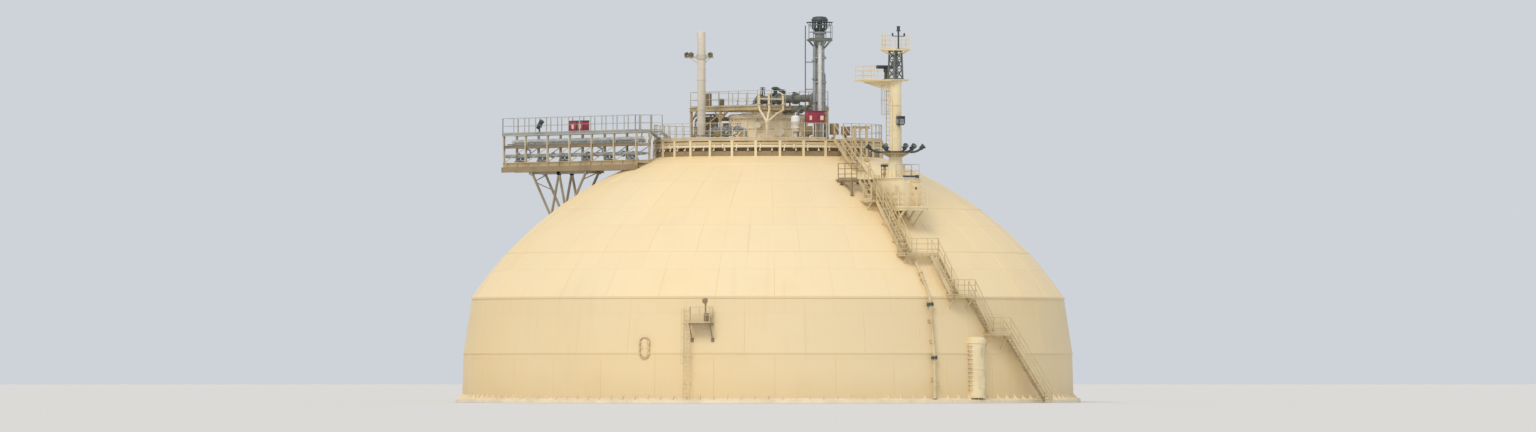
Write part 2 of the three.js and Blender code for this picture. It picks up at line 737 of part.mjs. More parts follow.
function upperPieces() {
  const { aft, fore, halfWidth, deckTop, plate, edgeDepth, leg } = upper;
  const [length, width] = [fore - aft, 2 * halfWidth];
  const middle = (aft + fore) / 2;
  const solids = [block(length, width, plate, middle, 0, deckTop - plate)];
  const { inset } = upper;
  const beamHeight = edgeDepth - plate / 2;
  const beamY = halfWidth - inset - leg / 2;
  const beamX = [aft + inset + leg / 2, middle, fore - inset - leg / 2];
  for (const y of [-beamY, 0, beamY]) {
    solids.push(block(length - 2 * inset, leg, beamHeight, middle, y, deckTop - edgeDepth));
  }
  for (const x of beamX) {
    solids.push(block(leg, width - 3 * inset, beamHeight - inset, x, 0, deckTop - edgeDepth + inset));
  }
  const footZ = ring.deckTop + air;
  const postSize = 0.8 * leg;
  const underPlate = deckTop - edgeDepth / 2;
  const posts = [[beamX[0], -beamY, true], [beamX[0], beamY, true], [upper.postX, -beamY, false],
    [upper.postX, beamY, false], [beamX[2], beamY, false]];
  for (const [x, y, onRing] of posts) {
    const foot = onRing ? footZ : footZ - upper.postDrop;
    solids.push(block(postSize, postSize, underPlate - foot, x, y, foot));
  }
  const deck = onCover(join(solids));
  const z = deckTop + air;
  const [x0, x1, y0] = [aft + 2 * inset, fore - 2 * inset, halfWidth - 2 * inset];
  const open = upper.gate;
  const railingSolid = railing([[x1, -open, z], [x1, -y0, z], [x0, -y0, z], [x0, y0, z], [x1, y0, z],
    [x1, open, z]]);

  // Three-armed post under the forward starboard corner
  const trunkTop = [tree.x, tree.y, tree.fork];
  const { armX, beamZ } = tree;
  const arms = tree.arms.map((y) => [
    rod(trunkTop, [armX, y, tree.bend], tree.arm, 6),
    rod([armX, y, tree.bend - tree.arm / 2], [armX, y, tree.top], tree.arm, 6),
  ]);
  const beam = bar([armX, tree.arms[0], beamZ], [armX, tree.arms[2], beamZ], tree.beam);
  const treePost = join(rod([tree.x, tree.y, footZ], trunkTop, tree.radius), arms.flat(), beam);
  return [
    piece("upper_platform", deck, steelTan()),
    piece("upper_railing", railingSolid, steelTan()),
    piece("tree_post", treePost, creamHigh()),
  ];
}

// Two tall posts with a crossbar, standing on the cover beside the stair
function portalFrame() {
  const { width, top, post, postLength, beam, beamLength, beamDrop } = portal;
  const solid = join(
    [-width / 2, width / 2].map((y) => rod([0, y, -postLength], [0, y, 0], post / 2)),
    bar([0, -beamLength / 2, -beamDrop], [0, beamLength / 2, -beamDrop], beam),
  );
  const position = [portal.x, portal.y, top];
  const mesh = piece("portal_frame", onCover(solid, position), steelTan());
  mesh.position.set(...position);
  return mesh;
}

function deckBoxes() {
  const [length, width, height] = hoseBox.size;
  const legs = [];
  const { leg, legPlace, roof, roofGrowth } = hoseBox;
  const drop = hoseBox.z - ring.deckTop - air;
  for (const x of [-legPlace * length, legPlace * length]) {
    for (const y of [-legPlace * width, legPlace * width]) {
      legs.push(block(leg, leg, drop + leg, x, y, -drop));
    }
  }
  const cabinet = join(
    block(length, width, height),
    block(roofGrowth * length, roofGrowth * width, roof, 0, 0, height - roof / 2),
    legs,
  );
  const boxMesh = piece("hose_box", cabinet, boxRed());
  boxMesh.position.set(hoseBox.x, hoseBox.y, hoseBox.z);

  const drumHeight = drum.top - drum.bottom;
  const stand = drum.bottom - ring.deckTop - air;
  const barrel = join(
    rod([0, 0, 0], [0, 0, drumHeight], drum.radius, 16),
    rod([0, 0, drumHeight - lap], [0, 0, drumHeight + drum.cone], drum.radius, 16, 0.3 * drum.radius),
    rod([0, 0, -stand], [0, 0, lap], 0.5 * drum.radius, 8),
  );
  const drumMesh = piece("white_drum", barrel, drumWhite());
  drumMesh.position.set(drum.x, drum.y, drum.bottom);
  return [boxMesh, drumMesh];
}

// Vent mast, header pipe and valves

function ventPieces() {
  const foot = ring.deckTop + air;
  const sidePipeY = -(vent.trunk + 0.7 * vent.side);
  const stubX = -(vent.trunk + vent.stub);
  const mastSolid = join(
    rod([0, 0, foot], [0, 0, vent.top - air], vent.trunk, 16),
    rod([0, 0, foot], [0, 0, foot + vent.flangePlate], 1.5 * vent.trunk, 16),
    rod([0, sidePipeY, foot], [0, sidePipeY, vent.deckZ - vent.trunk], vent.side, 8),
    rod([0, 0, header.z], [stubX, 0, header.z], header.radius, 12),
    rod([stubX + vent.flangePlate, 0, header.z], [stubX, 0, header.z], header.flange, 12),
  );
  const guardAt = (radius, azimuth) => around(radius, azimuth, vent.guardZ + vent.guardBar / 2);
  const head = join(
    turned(closed([
      [vent.bore, vent.top],
      [vent.trunk, vent.top],
      [vent.headRadius, vent.top + vent.stub],
      [vent.headRadius, vent.headTop - vent.stub],
      [0.8 * vent.headRadius, vent.headTop],
      [vent.bore, vent.headTop],
    ]), 16),
    hoop(vent.guardRadius - vent.guardBar, vent.guardRadius, vent.guardZ, vent.guardBar, 24),
    [0, 90, 180, 270].map((azimuth) => bar(guardAt(0.7 * vent.headRadius, azimuth),
      guardAt(vent.guardRadius - vent.guardBar / 2, azimuth), 0.8 * vent.guardBar)),
  );
  // Ladder beside the mast, held by ties, with the round platform at its head
  const { ladderAzimuth, deckZ, deckRadius, deckPlate, tie } = vent;
  const ladderAt = (z) => around(1.1 * deckRadius, ladderAzimuth, z);
  const [sideX, sideY] = around(rungs.width / 2, ladderAzimuth + 90);
  const ties = vent.tieZ.map((z) => {
    const [x, y] = ladderAt(z);
    return join(bar([x, y, z], [0, 0, z], tie),
      bar([x + sideX, y + sideY, z], [x - sideX, y - sideY, z], 0.85 * tie));
  });
  const trunkShape = rod([0, 0, foot], [0, 0, vent.top], vent.trunk + air, 16);
  const sideShape = rod([0, sidePipeY, foot], [0, sidePipeY, vent.deckZ], vent.side + air, 8);
  const deck = join(
    hoop(vent.bore, deckRadius, deckZ - deckPlate, deckPlate, 20),
    hoop(vent.bore, 1.3 * vent.trunk, deckZ - 3.5 * deckPlate, 3.5 * deckPlate, 20),
    ladder(ladderAt(foot), ladderAt(deckZ + deckRadius), ladderAzimuth),
    bar(around(0.8 * deckRadius, ladderAzimuth, deckZ - deckPlate / 2), ladderAt(deckZ - deckPlate / 2),
      rungs.width - tie, 0.6 * deckPlate),
    ties.map((solid) => solid.subtract(sideShape)),
  ).subtract(trunkShape);
  const group = new THREE.Group();
  group.position.x = vent.x;
  group.add(
    piece("vent_mast", mastSolid, ventGrey()),
    piece("vent_head", head, ventGrey()),
    piece("vent_platform", deck, ventGrey()),
  );
  return group;
}

function headerPieces() {
  const end = vent.x - vent.trunk - vent.stub - air;
  const deck = upper.deckTop + air;
  const [saddleLong, saddleWide] = header.saddle;
  const flangeAt = (x) => rod([x, 0, header.z], [x + vent.flangePlate, 0, header.z], header.flange, 12);
  const pipe = join(
    rod([header.start, 0, header.z], [end, 0, header.z], header.radius, 12),
    [...header.flangeX, end - vent.flangePlate].map(flangeAt),
    header.saddleX.map((x) => block(saddleLong, saddleWide, header.z - deck, x, 0, deck)),
  );
  const { stem, height, cap, lever } = valve;
  const valveSolid = join(
    rod([0, 0, 0], [0, 0, height - stem / 2], stem),
    rod([0, 0, height - stem], [0, 0, height], cap, 12),
    rod([0, 0, height - lever], [3 * cap, 0, height / 2], lever),
  );
  const valveMesh = piece("header_valve", valveSolid, ventGrey());
  valveMesh.position.set(valve.x, 0, header.z + header.radius + air);
  return [piece("vent_header", pipe, ventGrey()), valveMesh];
}

// Side pole

function polePieces() {
  const foot = ring.deckTop + air;
  const { radius, treeZ, ladderAzimuth, lamp } = pole;
  const climb = (z) => around(radius + rungs.off, ladderAzimuth, z);
  const post = join(
    rod([0, 0, foot], [0, 0, pole.top], radius, 16),
    rod([0, 0, foot], [0, 0, foot + pole.base], 1.6 * radius, 16),
    pole.tieZ.map((z) => bar([0, 0, z], climb(z), pole.tie)),
    ladder(climb(foot), climb(treeZ), ladderAzimuth),
  );
  const along = (distance, z) => around(distance, pole.treeAzimuth, z);
  const inner = radius + air;
  const [armWide, armHigh] = pole.treeArm;
  const crosstree = join(
    hoop(inner, inner + armHigh / 2, treeZ - armHigh, 2.5 * armHigh, 16),
    pole.armReach.map(([from, to]) => bar(along(from, treeZ), along(to, treeZ), armWide, armHigh)),
    pole.lampReach.map((at) => rod(along(at, treeZ), along(1.25 * at, treeZ + rungs.off),
      lamp[0], 8, lamp[1])),
  );
  const group = new THREE.Group();
  group.position.set(pole.x, pole.y, 0);
  group.add(piece("kingpost", post, creamHigh()), piece("crosstree", crosstree, lampDark()));
  return group;
}

// Walkway to the aft

function walkPieces() {
  const { aft, fore, y, halfWidth, deckTop, plate, girderTop, girderDepth, beamZ } = walk;
  const length = fore - aft;
  const middle = (aft + fore) / 2;
  const bay = length / walk.bays;
  const { flange, post, rail: midRail, crossbeam } = walk;
  const sides = [-1, 1].map((s) => y + s * (halfWidth - flange / 2));
  const girder = [];
  for (const side of sides) {
    girder.push(block(length, flange, girderDepth, middle, side, girderTop - girderDepth));
    girder.push(block(length, midRail[0], midRail[1], middle, side, beamZ - midRail[1] / 2));
  }
  for (let i = 0; i <= walk.bays; i += 1) {
    const x = THREE.MathUtils.clamp(aft + i * bay, aft + crossbeam[0], fore - crossbeam[0]);
    const [beamLong, beamHigh] = crossbeam;
    girder.push(block(beamLong, 2 * halfWidth - flange / 2, beamHigh, x, y, girderTop - beamHigh));
    const rise = deckTop - plate - air - girderTop + lap;
    girder.push(...sides.map((side) => block(post, post, rise, x, side, girderTop - lap)));
  }
  // Side landing and steps down to the ring platform
  const [bridgeWide, bridgeLong] = walk.bridge;
  const { inset } = rail;
  const bridgeStart = y + halfWidth - inset;
  const bridgeEnd = bridgeStart + bridgeLong;
  const bridge = [
    block(bridgeWide, bridgeLong, 0.9 * plate, walk.gateX, (bridgeStart + bridgeEnd) / 2,
      deckTop - 0.95 * plate),
  ];
  for (const s of [-1, 1]) {
    const x = walk.gateX + s * (bridgeWide / 2 - inset);
    bridge.push(railing([[x, bridgeStart + 2 * inset, deckTop - plate / 2],
      [x, bridgeEnd - inset, deckTop - plate / 2]]));
    const stringer = bar([x, bridgeEnd - 2 * inset, deckTop - plate],
      [x, bridgeEnd + walk.bridgeRun, ring.deckTop - plate], ...walk.bridgeStringer);
    bridge.push(stringer.trimByPlane([0, 0, 1], ring.deckTop + air));
  }
  for (const step of [1, 2]) {
    const drop = (step * (deckTop - ring.deckTop)) / 3;
    const treadY = bridgeEnd + (step - 0.5) * 0.35 * walk.bridgeRun;
    bridge.push(block(bridgeWide - 2 * inset, stair.tread, stair.treadPlate, walk.gateX, treadY,
      deckTop - drop - stair.treadPlate));
  }
  const railZ = deckTop - lap;
  const railLine = (railY, end) => railing([[aft + inset, railY, railZ], [end, railY, railZ]]);
  const deckSolid = [
    block(length, 2 * halfWidth, plate, middle, y, deckTop - plate),
    railLine(y - halfWidth + inset, fore - inset),
    railLine(y + halfWidth - inset, walk.gateX - bridgeWide / 2),
    bridge,
  ];

  // Struts from the cover up to the girder
  const under = girderTop - girderDepth - air;
  const soleZ = under - trestle.soleBar / 2;
  const struts = [];
  for (const side of sides) {
    const [soleAft, soleFore] = trestle.sole;
    struts.push(bar([soleAft, side, soleZ], [soleFore, side, soleZ], trestle.soleBar));
    for (const [foot, top] of trestle.struts) {
      const run = (top - foot) * trestle.reachDown;
      const end = [top - run, side, under - trestle.reachDown * trestle.depth];
      struts.push(bar([top, side, soleZ], end, trestle.strut));
    }
  }
  for (const x of trestle.crossX) {
    struts.push(bar([x, sides[0], soleZ], [x, sides[1], soleZ], trestle.cross));
  }

  const pipeZ = walkPipes.z;
  const [saddleLong, saddleWide] = walkPipes.saddle;
  const pipes = join(
    walkPipes.lines.map(([off, radius]) => rod([aft, y + off, pipeZ], [fore, y + off, pipeZ], radius)),
    Array.from({ length: walk.bays }, (_, i) => block(saddleLong, saddleWide,
      pipeZ - girderTop - air, aft + (i + 0.5) * bay, y, girderTop + air)),
  );
  const lockerZ = deckTop + air;
  const lockerY = y + locker.y;
  const [boxAft, boxFore] = locker.x;
  const lockers = join(
    locker.x.map((x) => block(...locker.size, x, lockerY, lockerZ)),
    block(2 * (boxFore - boxAft), 0.8 * locker.size[1], locker.sole, (boxAft + boxFore) / 2, lockerY,
      lockerZ),
  );
  const { stem, height, lens, body } = searchlight;
  const lamp = join(
    rod([0, 0, 0], [0, 0, height], stem),
    rod([-lens, -body, height - lens], [1.2 * lens, body, 2 * height], body, 8, lens),
  );
  const lampMesh = piece("searchlight", lamp, lampDark());
  lampMesh.position.set(searchlight.x, y, lockerZ);
  return [
    piece("walkway_girder", onCover(join(girder)), steelTan()),
    piece("walkway_deck", join(deckSolid.flat()), steelTan()),
    piece("walkway_trestle", onCover(join(struts)), steelTan()),
    piece("walkway_pipes", pipes, ventGrey()),
    piece("walkway_lockers", lockers, boxRed()),
    lampMesh,
  ];
}

// Foremast, in groups at the mast's foot

const local = (x) => x - mast.x;

function mastGroup(...meshes) {
  const group = new THREE.Group();
  group.position.x = mast.x;
  group.add(...meshes);
  return group;
}

function housePieces() {
  const place = [mast.x, 0, 0];
  const { floor, top, halfWidth, roofPlate, roofLip } = house;
  const [ventRadius, ventHeight] = house.ventStem;
  const { inset } = rail;
  const houseLength = house.fore - house.aft;
  const houseMiddle = local((house.fore + house.aft) / 2);
  const walls = join(
    block(houseLength, 2 * halfWidth, top - floor - roofLip, houseMiddle, 0, floor + air),
    block(houseLength + 2 * roofLip, 2 * (halfWidth + roofLip), roofPlate, houseMiddle, 0, top - roofPlate),
    rod([local(house.ventX), 0, top - lap], [local(house.ventX), 0, top + ventHeight], ventRadius),
    house.ventDiscs.map(([radius, low, high]) => (
      rod([local(house.ventX), 0, top + low], [local(house.ventX), 0, top + high], radius, 12))),
  );
  const [doorThick] = house.door;
  const doorX = local(house.fore) + doorThick / 2 + air;
  const doorLeaf = block(...house.door, doorX, house.doorY, floor + house.doorSill);

  // Deck round the house, on short legs and knees that stand on the cover
  const deckLength = house.deckFore - house.aft;
  const deckMiddle = local((house.deckFore + house.aft) / 2);
  const deckSolids = [block(deckLength, 2 * house.deckHalf, house.deckPlate, deckMiddle, 0,
    floor - house.deckPlate)];
  const under = floor - house.deckPlate / 2;
  const [kneeBack, kneeDrop] = house.kneeRun;
  for (const y of [-house.legY, house.legY]) {
    deckSolids.push(block(house.leg, house.leg, house.legLength, local(house.legX), y,
      under - house.legLength));
    for (const x of house.kneeX) {
      deckSolids.push(bar([local(x), y, under], [local(x) - kneeBack, y, under - kneeDrop], house.leg));
    }
  }
  const edgeX = local(house.deckFore) - inset;
  const edgeY = house.deckHalf - inset;
  deckSolids.push(railing([
    [local(house.fore) + 2 * inset, edgeY, floor - lap],
    [edgeX, edgeY, floor - lap],
    [edgeX, -edgeY, floor - lap],
  ], rail.height, M));

  const [railAftPort, railAftStarboard] = house.roofRailAft.map(local);
  const railX = local(house.fore) - house.roofRailInset;
  const railY = halfWidth - house.roofRailInset;
  const roofRail = railing([
    [railAftPort, railY, top + air],
    [railX, railY, top + air],
    [railX, -railY, top + air],
    [railAftStarboard, -railY, top + air],
  ], house.roofRailHeight, landing.postSpacing);
  return mastGroup(
    piece("mast_house", onCover(walls, place), creamHigh()),
    piece("mast_house_door", doorLeaf, creamLow()),
    piece("mast_house_deck", onCover(join(deckSolids), place), creamHigh()),
    piece("mast_house_railing", roofRail, steelTan()),
  );
}

// Pedestal, floodlight crown and column
function columnPieces() {
  const { top } = house;
  const pedestal = rod([0, 0, top + air], [0, 0, mast.dishZ - air], mast.pedestalRadius, 12, mast.radius);
  const [lipWide, lipHigh] = mast.dishLip;
  const [wellRadius, wellRise] = mast.dishWell;
  const rim = mast.dishZ + mast.dishRise;
  const dish = turned([
    [0, mast.dishZ],
    [wellRadius, mast.dishZ],
    [mast.dishRadius, rim],
    [mast.dishRadius, rim + lipHigh],
    [mast.dishRadius - lipWide, rim + lipHigh],
    [1.1 * wellRadius, mast.dishZ + wellRise],
    [0, mast.dishZ + wellRise],
  ], 24);
  const foot = mast.dishZ + wellRise + air;
  const columnRod = (grown) => rod([0, 0, foot], [0, 0, mast.columnTop - air], mast.radius + grown, 16,
    mast.taper * mast.radius + grown);
  const columnShape = columnRod(air);

  // Floodlights at the ends of bent arms, on a hoop round the dish
  const hoopIn = mast.dishRadius + air;
  const crown = [hoop(hoopIn, hoopIn + lipWide, rim, lipHigh, 24)];
  for (const azimuth of mast.lampAzimuths) {
    const at = ([radius, rise]) => around(radius, azimuth, mast.dishZ + rise);
    const [root, bend, end] = mast.crownLine.map(at);
    const [back, front] = mast.lampLine.map(at);
    crown.push(bar(root, bend, mast.crownArm));
    crown.push(bar(bend, end, mast.crownArm));
    crown.push(rod(back, front, mast.lampRadii[0], 8, mast.lampRadii[1]));
  }

  const boxMiddle = mast.boxZ + mast.box[2] / 2;
  const lampBox = join(
    bar([mast.taper * mast.radius, 0, boxMiddle], [mast.boxX, 0, boxMiddle], mast.boxArm),
    block(...mast.box, mast.boxX, 0, mast.boxZ),
  );
  const ladderX = -(mast.radius + rungs.off);
  const mastLadder = join(
    ladder([ladderX, 0, mast.ladderFoot], [ladderX, 0, mast.columnTop - lipHigh], 180),
    mast.tieZ.map((z) => bar([ladderX, rungs.width / 2, z], [0, rungs.width / 2, z], mast.tie)),
  );
  return mastGroup(
    piece("mast_pedestal", pedestal, creamHigh()),
    piece("floodlight_dish", dish, steelTan()),
    piece("floodlight_crown", join(crown), lampDark()),
    piece("mast_column", columnRod(0), creamHigh()),
    piece("mast_lamp", lampBox.subtract(columnShape), lampDark()),
    piece("mast_ladder", mastLadder.subtract(columnShape), steelTan()),
  );
}

// Radar platform reaching aft, and the lattice, top platform and light above it
function radarPieces() {
  const z = mast.columnTop;
  const { plate, fore, halfWidth } = radar;
  const foot = z + plate + air;
  const aftRail = -radar.reach + rail.inset;
  const sideRail = halfWidth - rail.inset;
  const deck = join(
    block(radar.reach + fore, 2 * halfWidth, plate, (fore - radar.reach) / 2, 0, z),
    railing([
      [radar.railStart, sideRail, foot - air - lap],
      [aftRail, sideRail, foot - air - lap],
      [aftRail, -sideRail, foot - air - lap],
      [radar.railStart, -sideRail, foot - air - lap],
    ], radar.railHeight, radar.postSpacing),
  );

  const { deckZ, deckPlate, spreadLow, spreadHigh, leg, brace } = topMast;
  const under = deckZ - deckPlate - air;
  const corners = [[-1, -1], [-1, 1], [1, 1], [1, -1]];
  const bars = corners.flatMap(([x, y], i) => {
    const [nextX, nextY] = corners[(i + 1) % corners.length];
    const low = (spread, lift) => [x * spread, y * spread, foot + lift];
    const high = (spread, drop) => [x * spread, y * spread, under - drop];
    const nextLow = (spread, lift) => [nextX * spread, nextY * spread, foot + lift];
    const nextHigh = (spread, drop) => [nextX * spread, nextY * spread, under - drop];
    return [
      bar(low(spreadLow, -leg / 5), high(spreadHigh, -leg / 5), leg),
      bar(low(spreadLow - leg / 10, leg), nextHigh(spreadHigh, leg), brace),
      bar(high(spreadHigh, 0.6 * leg), nextHigh(spreadHigh, 0.6 * leg), leg),
      bar(low(spreadLow - leg / 20, 0.6 * leg), nextLow(spreadLow - leg / 20, 0.6 * leg), leg),
    ];
  });
  const lattice = join(bars).trimByPlane([0, 0, 1], foot).trimByPlane([0, 0, -1], -under);
  const { scannerX, stem, stemHeight } = radar;
  const scanner = join(
    rod([scannerX, 0, foot], [scannerX, 0, foot + stemHeight], stem),
    block(...radar.bar, scannerX, 0, foot + stemHeight - stem / 3),
  );
  const topDeck = join(
    rod([0, 0, deckZ - deckPlate], [0, 0, deckZ], topMast.deckRadius, 16),
    railing(topMast.railing.map(([x, y]) => [x, y, deckZ - lap]), topMast.railHeight, landing.postSpacing),
  );
  const { lightX, lightStem, tip } = topMast;
  const [lensLow, lensHigh, lensHeight] = topMast.lens;
  const topLight = join(
    rod([lightX, 0, deckZ + air], [lightX, 0, tip - lensHeight + lap], lightStem),
    rod([lightX, 0, tip - lensHeight], [lightX, 0, tip], lensLow, 10, lensHigh),
  );
  return mastGroup(
    piece("radar_platform", deck, creamHigh()),
    piece("upper_mast", lattice, ventGrey()),
    piece("radar_scanner", scanner, lampDark()),
    piece("top_platform", topDeck, creamHigh()),
    piece("top_light", topLight, lampDark()),
  );
}

// Stairs and landings down the front

// Platform between the ring stair and the foremast's house, on posts that stand on the cover
function shoulderPlatform() {
  const { aft, fore, starboard, port, top, beamInset, railStart, post, postLength } = shoulder;
  const { plate } = landing;
  const { inset } = rail;
  const [beamWide, beamHigh] = shoulder.beam;
  const middleX = (aft + fore) / 2;
  const middleY = (port + starboard) / 2;
  const railLine = (y) => railing([[aft + railStart, y, top - lap], [fore - inset, y, top - lap]]);
  const solids = [
    block(fore - aft, port - starboard, plate, middleX, middleY, top - plate),
    block(beamWide, port - starboard, beamHigh, fore - beamInset, middleY, top - beamHigh),
    railLine(starboard + inset),
    railLine(port - inset),
  ];
  for (const y of shoulder.postY) {
    solids.push(block(post, post, postLength, fore - beamInset, y, top - plate / 2 - postLength));
  }
  return piece("shoulder_platform", onCover(join(solids)), steelTan());
}

// The decks that the flights lean on, each larger by the air gap
function deckShapes() {
  const { aft, fore, starboard, port, top } = shoulder;
  const { plate } = landing;
  const { deckTop, edgeDepth } = ring;
  const grown = (sizeX, sizeY, x, y, z) =>
    block(sizeX + 2 * air, sizeY + 2 * air, plate + 2 * air, x, y, z - plate - air);
  return join(
    hoop(ring.inner, ring.outer + air, deckTop - edgeDepth - air, edgeDepth + 2 * air, ring.segments),
    grown(fore - aft, port - starboard, (aft + fore) / 2, (port + starboard) / 2, top),
    Object.values(landings).map((spot) =>
      grown(spot.sizeX * M, spot.sizeY * M, spot.x * M, spot.y * M, spot.z * M)),
  );
}

function stairPieces() {
  const decks = deckShapes();
  const flightMeshes = Object.entries(flights).map(([name, { from, to }]) => {
    const [start, end] = [from, to].map((point) => point.map((v) => v * M));
    const solid = flight(start, end).trimByPlane([0, 0, 1], end[2] + (end[2] > 0 ? air : 0));
    return piece(name, onCover(solid.subtract(decks)), steelTan());
  });
  const landingMeshes = Object.entries(landings).map(([name, spot]) => {
    const position = [spot.x, spot.y, spot.z].map((v) => v * M);
    const solid = landingSolid(position, spot.sizeX * M, spot.sizeY * M, spot.sides);
    const mesh = piece(name, solid, steelTan());
    mesh.position.set(...position);
    return mesh;
  });
  return [shoulderPlatform(), ...flightMeshes, ...landingMeshes];
}

// Pipe, light platform and trunk on the wall

function wallRadiusAt(z) {
  if (z > cover.highSeam) return domeRadius(z);
  const slope = (highRadius - cover.lowSeamRadius) / (cover.highSeam - cover.lowSeam);
  return z > cover.lowSeam ? cover.lowSeamRadius + slope * (z - cover.lowSeam) : cover.wallRadius;
}

function wallPieces() {
  const { heights, off, radius, flange, flangeHalf, clip } = sidePipe;
  const route = heights.map((z) => new THREE.Vector3(wallRadiusAt(z) + off, 0, z));
  const circle = new THREE.Shape().absarc(0, 0, radius, 0, 2 * Math.PI);
  const path = new THREE.CatmullRomCurve3(route);
  const options = { steps: 10, extrudePath: path, curveSegments: 4 };
  const pipe = toSolid(new THREE.ExtrudeGeometry(circle, options));
  const collars = sidePipe.flangeZ.map((z) => {
    const x = wallRadiusAt(z) + off;
    return rod([x, 0, z - flangeHalf], [x, 0, z + flangeHalf], flange, 10);
  });
  const clips = sidePipe.clipZ.map((z) => {
    const x = wallRadiusAt(z);
    return bar([x - sidePipe.rooted, 0, z], [x + off, 0, z], clip);
  });
  const footX = wallRadiusAt(sidePipe.shoeTop) + off;
  const shoe = rod([footX, 0, cover.footHeight + air], [footX, 0, sidePipe.shoeTop], radius, 8);
  const pipeMesh = piece("side_pipe", onCover(join(pipe, collars, clips, shoe)), steelTan());
  pipeMesh.rotation.z = THREE.MathUtils.degToRad(sidePipe.azimuth);

  const { z, plate, reach: deckReach, braceDrop, tie } = lightDeck;
  const { inset } = rail;
  const { rooted } = sidePipe;
  const wallX = wallRadiusAt(z);
  const outerX = wallX + deckReach;
  const half = lightDeck.width / 2;
  const ladderX = wallX + lightDeck.ladderOff;
  const ladderY = -half - lightDeck.ladderSide;
  const braces = [-0.8 * half, 0.8 * half].map((y) => bar([outerX - inset, y, z - plate / 2],
    [wallX - rooted, y, z - braceDrop], landing.arm));
  const lightDeckSolid = join(
    block(deckReach + rooted, lightDeck.width, plate, (wallX - rooted + outerX) / 2, 0, z - plate),
    braces,
    railing([
      [wallX + 2 * inset, -half + inset, z - lap],
      [outerX - inset, -half + inset, z - lap],
      [outerX - inset, half - inset, z - lap],
      [wallX + 2 * inset, half - inset, z - lap],
    ], rail.height, landing.postSpacing),
    ladder([wallRadiusAt(0) + lightDeck.ladderOff, ladderY, cover.footHeight + air],
      [ladderX, ladderY, z + rail.height], 0),
    bar([ladderX, ladderY - rungs.width / 2, z - plate / 2], [ladderX, -half + 2 * inset, z - plate / 2],
      tie),
  );
  const deckMesh = piece("light_platform", onCover(lightDeckSolid, [0, 0, 0], lightDeck.azimuth), steelTan());
  deckMesh.rotation.z = THREE.MathUtils.degToRad(lightDeck.azimuth);

  const trunkX = cover.wallRadius - trunk.set;
  const casing = rod([trunkX, 0, cover.footHeight + air], [trunkX, 0, trunk.top], trunk.radius, 20);
  const trunkMesh = piece("vent_trunk", onCover(casing, [0, 0, 0], trunk.azimuth), creamHigh());
  trunkMesh.rotation.z = THREE.MathUtils.degToRad(trunk.azimuth);
  return [pipeMesh, deckMesh, trunkMesh];
}

const tankCover = new THREE.Group();
tankCover.add(
  ...coverPieces(),
  ovalDoor(),
  ...turretPieces(),
  ...ringPieces(),
  ...upperPieces(),
  portalFrame(),
  ...deckBoxes(),
  ventPieces(),
  ...headerPieces(),
  polePieces(),
  ...walkPieces(),
  housePieces(),
  columnPieces(),
  radarPieces(),
  ...stairPieces(),
  ...wallPieces(),
);

export default tankCover;
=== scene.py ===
# Domed cover of a spherical gas tank, with its masts, platforms, walkway and stairs
# Sizes are full-size metres, +X forward, +Y port; meshes are halved at the end for the 1:2 model
import math
import bmesh
import bpy
from mathutils import Matrix, Vector


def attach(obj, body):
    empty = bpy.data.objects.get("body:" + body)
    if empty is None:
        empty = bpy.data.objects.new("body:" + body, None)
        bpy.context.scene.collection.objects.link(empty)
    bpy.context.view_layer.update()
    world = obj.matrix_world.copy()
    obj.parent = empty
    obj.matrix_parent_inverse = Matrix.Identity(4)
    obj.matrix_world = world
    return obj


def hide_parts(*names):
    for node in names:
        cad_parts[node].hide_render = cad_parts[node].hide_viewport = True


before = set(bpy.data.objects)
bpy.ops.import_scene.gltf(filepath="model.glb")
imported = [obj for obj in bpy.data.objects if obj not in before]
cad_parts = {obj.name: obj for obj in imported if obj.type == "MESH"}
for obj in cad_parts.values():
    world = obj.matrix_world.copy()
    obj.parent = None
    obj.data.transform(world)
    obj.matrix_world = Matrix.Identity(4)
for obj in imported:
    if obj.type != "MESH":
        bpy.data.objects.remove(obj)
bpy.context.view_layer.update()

scene = bpy.context.scene
modelScale = 0.5
print("frame loaded:", len(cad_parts), "nodes")


# Camera, floor and light

stageValues = {
    "azimuth": 55, "distance": 411, "eyeHeight": 1.5, "aimHeight": 6.55, "frameHeight": 15.2,
    "frameShape": 1536 / 432,
    "sensor": 36, "farClip": 3000, "floorRadius": 300, "floorDrop": 0.004, "floor": "e3e2de",
    "floorRough": 0.9,
    "sky": "e6ebf3", "skyStrength": 0.78, "sunStrength": 1.45, "sunAngle": 24, "sunAzimuth": 36,
    "sunElevation": 42, "sunColour": "fff1de",
}


def tint(text):
    # a web colour as linear light
    parts = [int(text[i:i + 2], 16) / 255 for i in (0, 2, 4)]
    return [v / 12.92 if v <= 0.04045 else ((v + 0.055) / 1.055) ** 2.4 for v in parts] + [1.0]


def added(name, data):
    made = bpy.data.objects.new(name, data)
    scene.collection.objects.link(made)
    return made


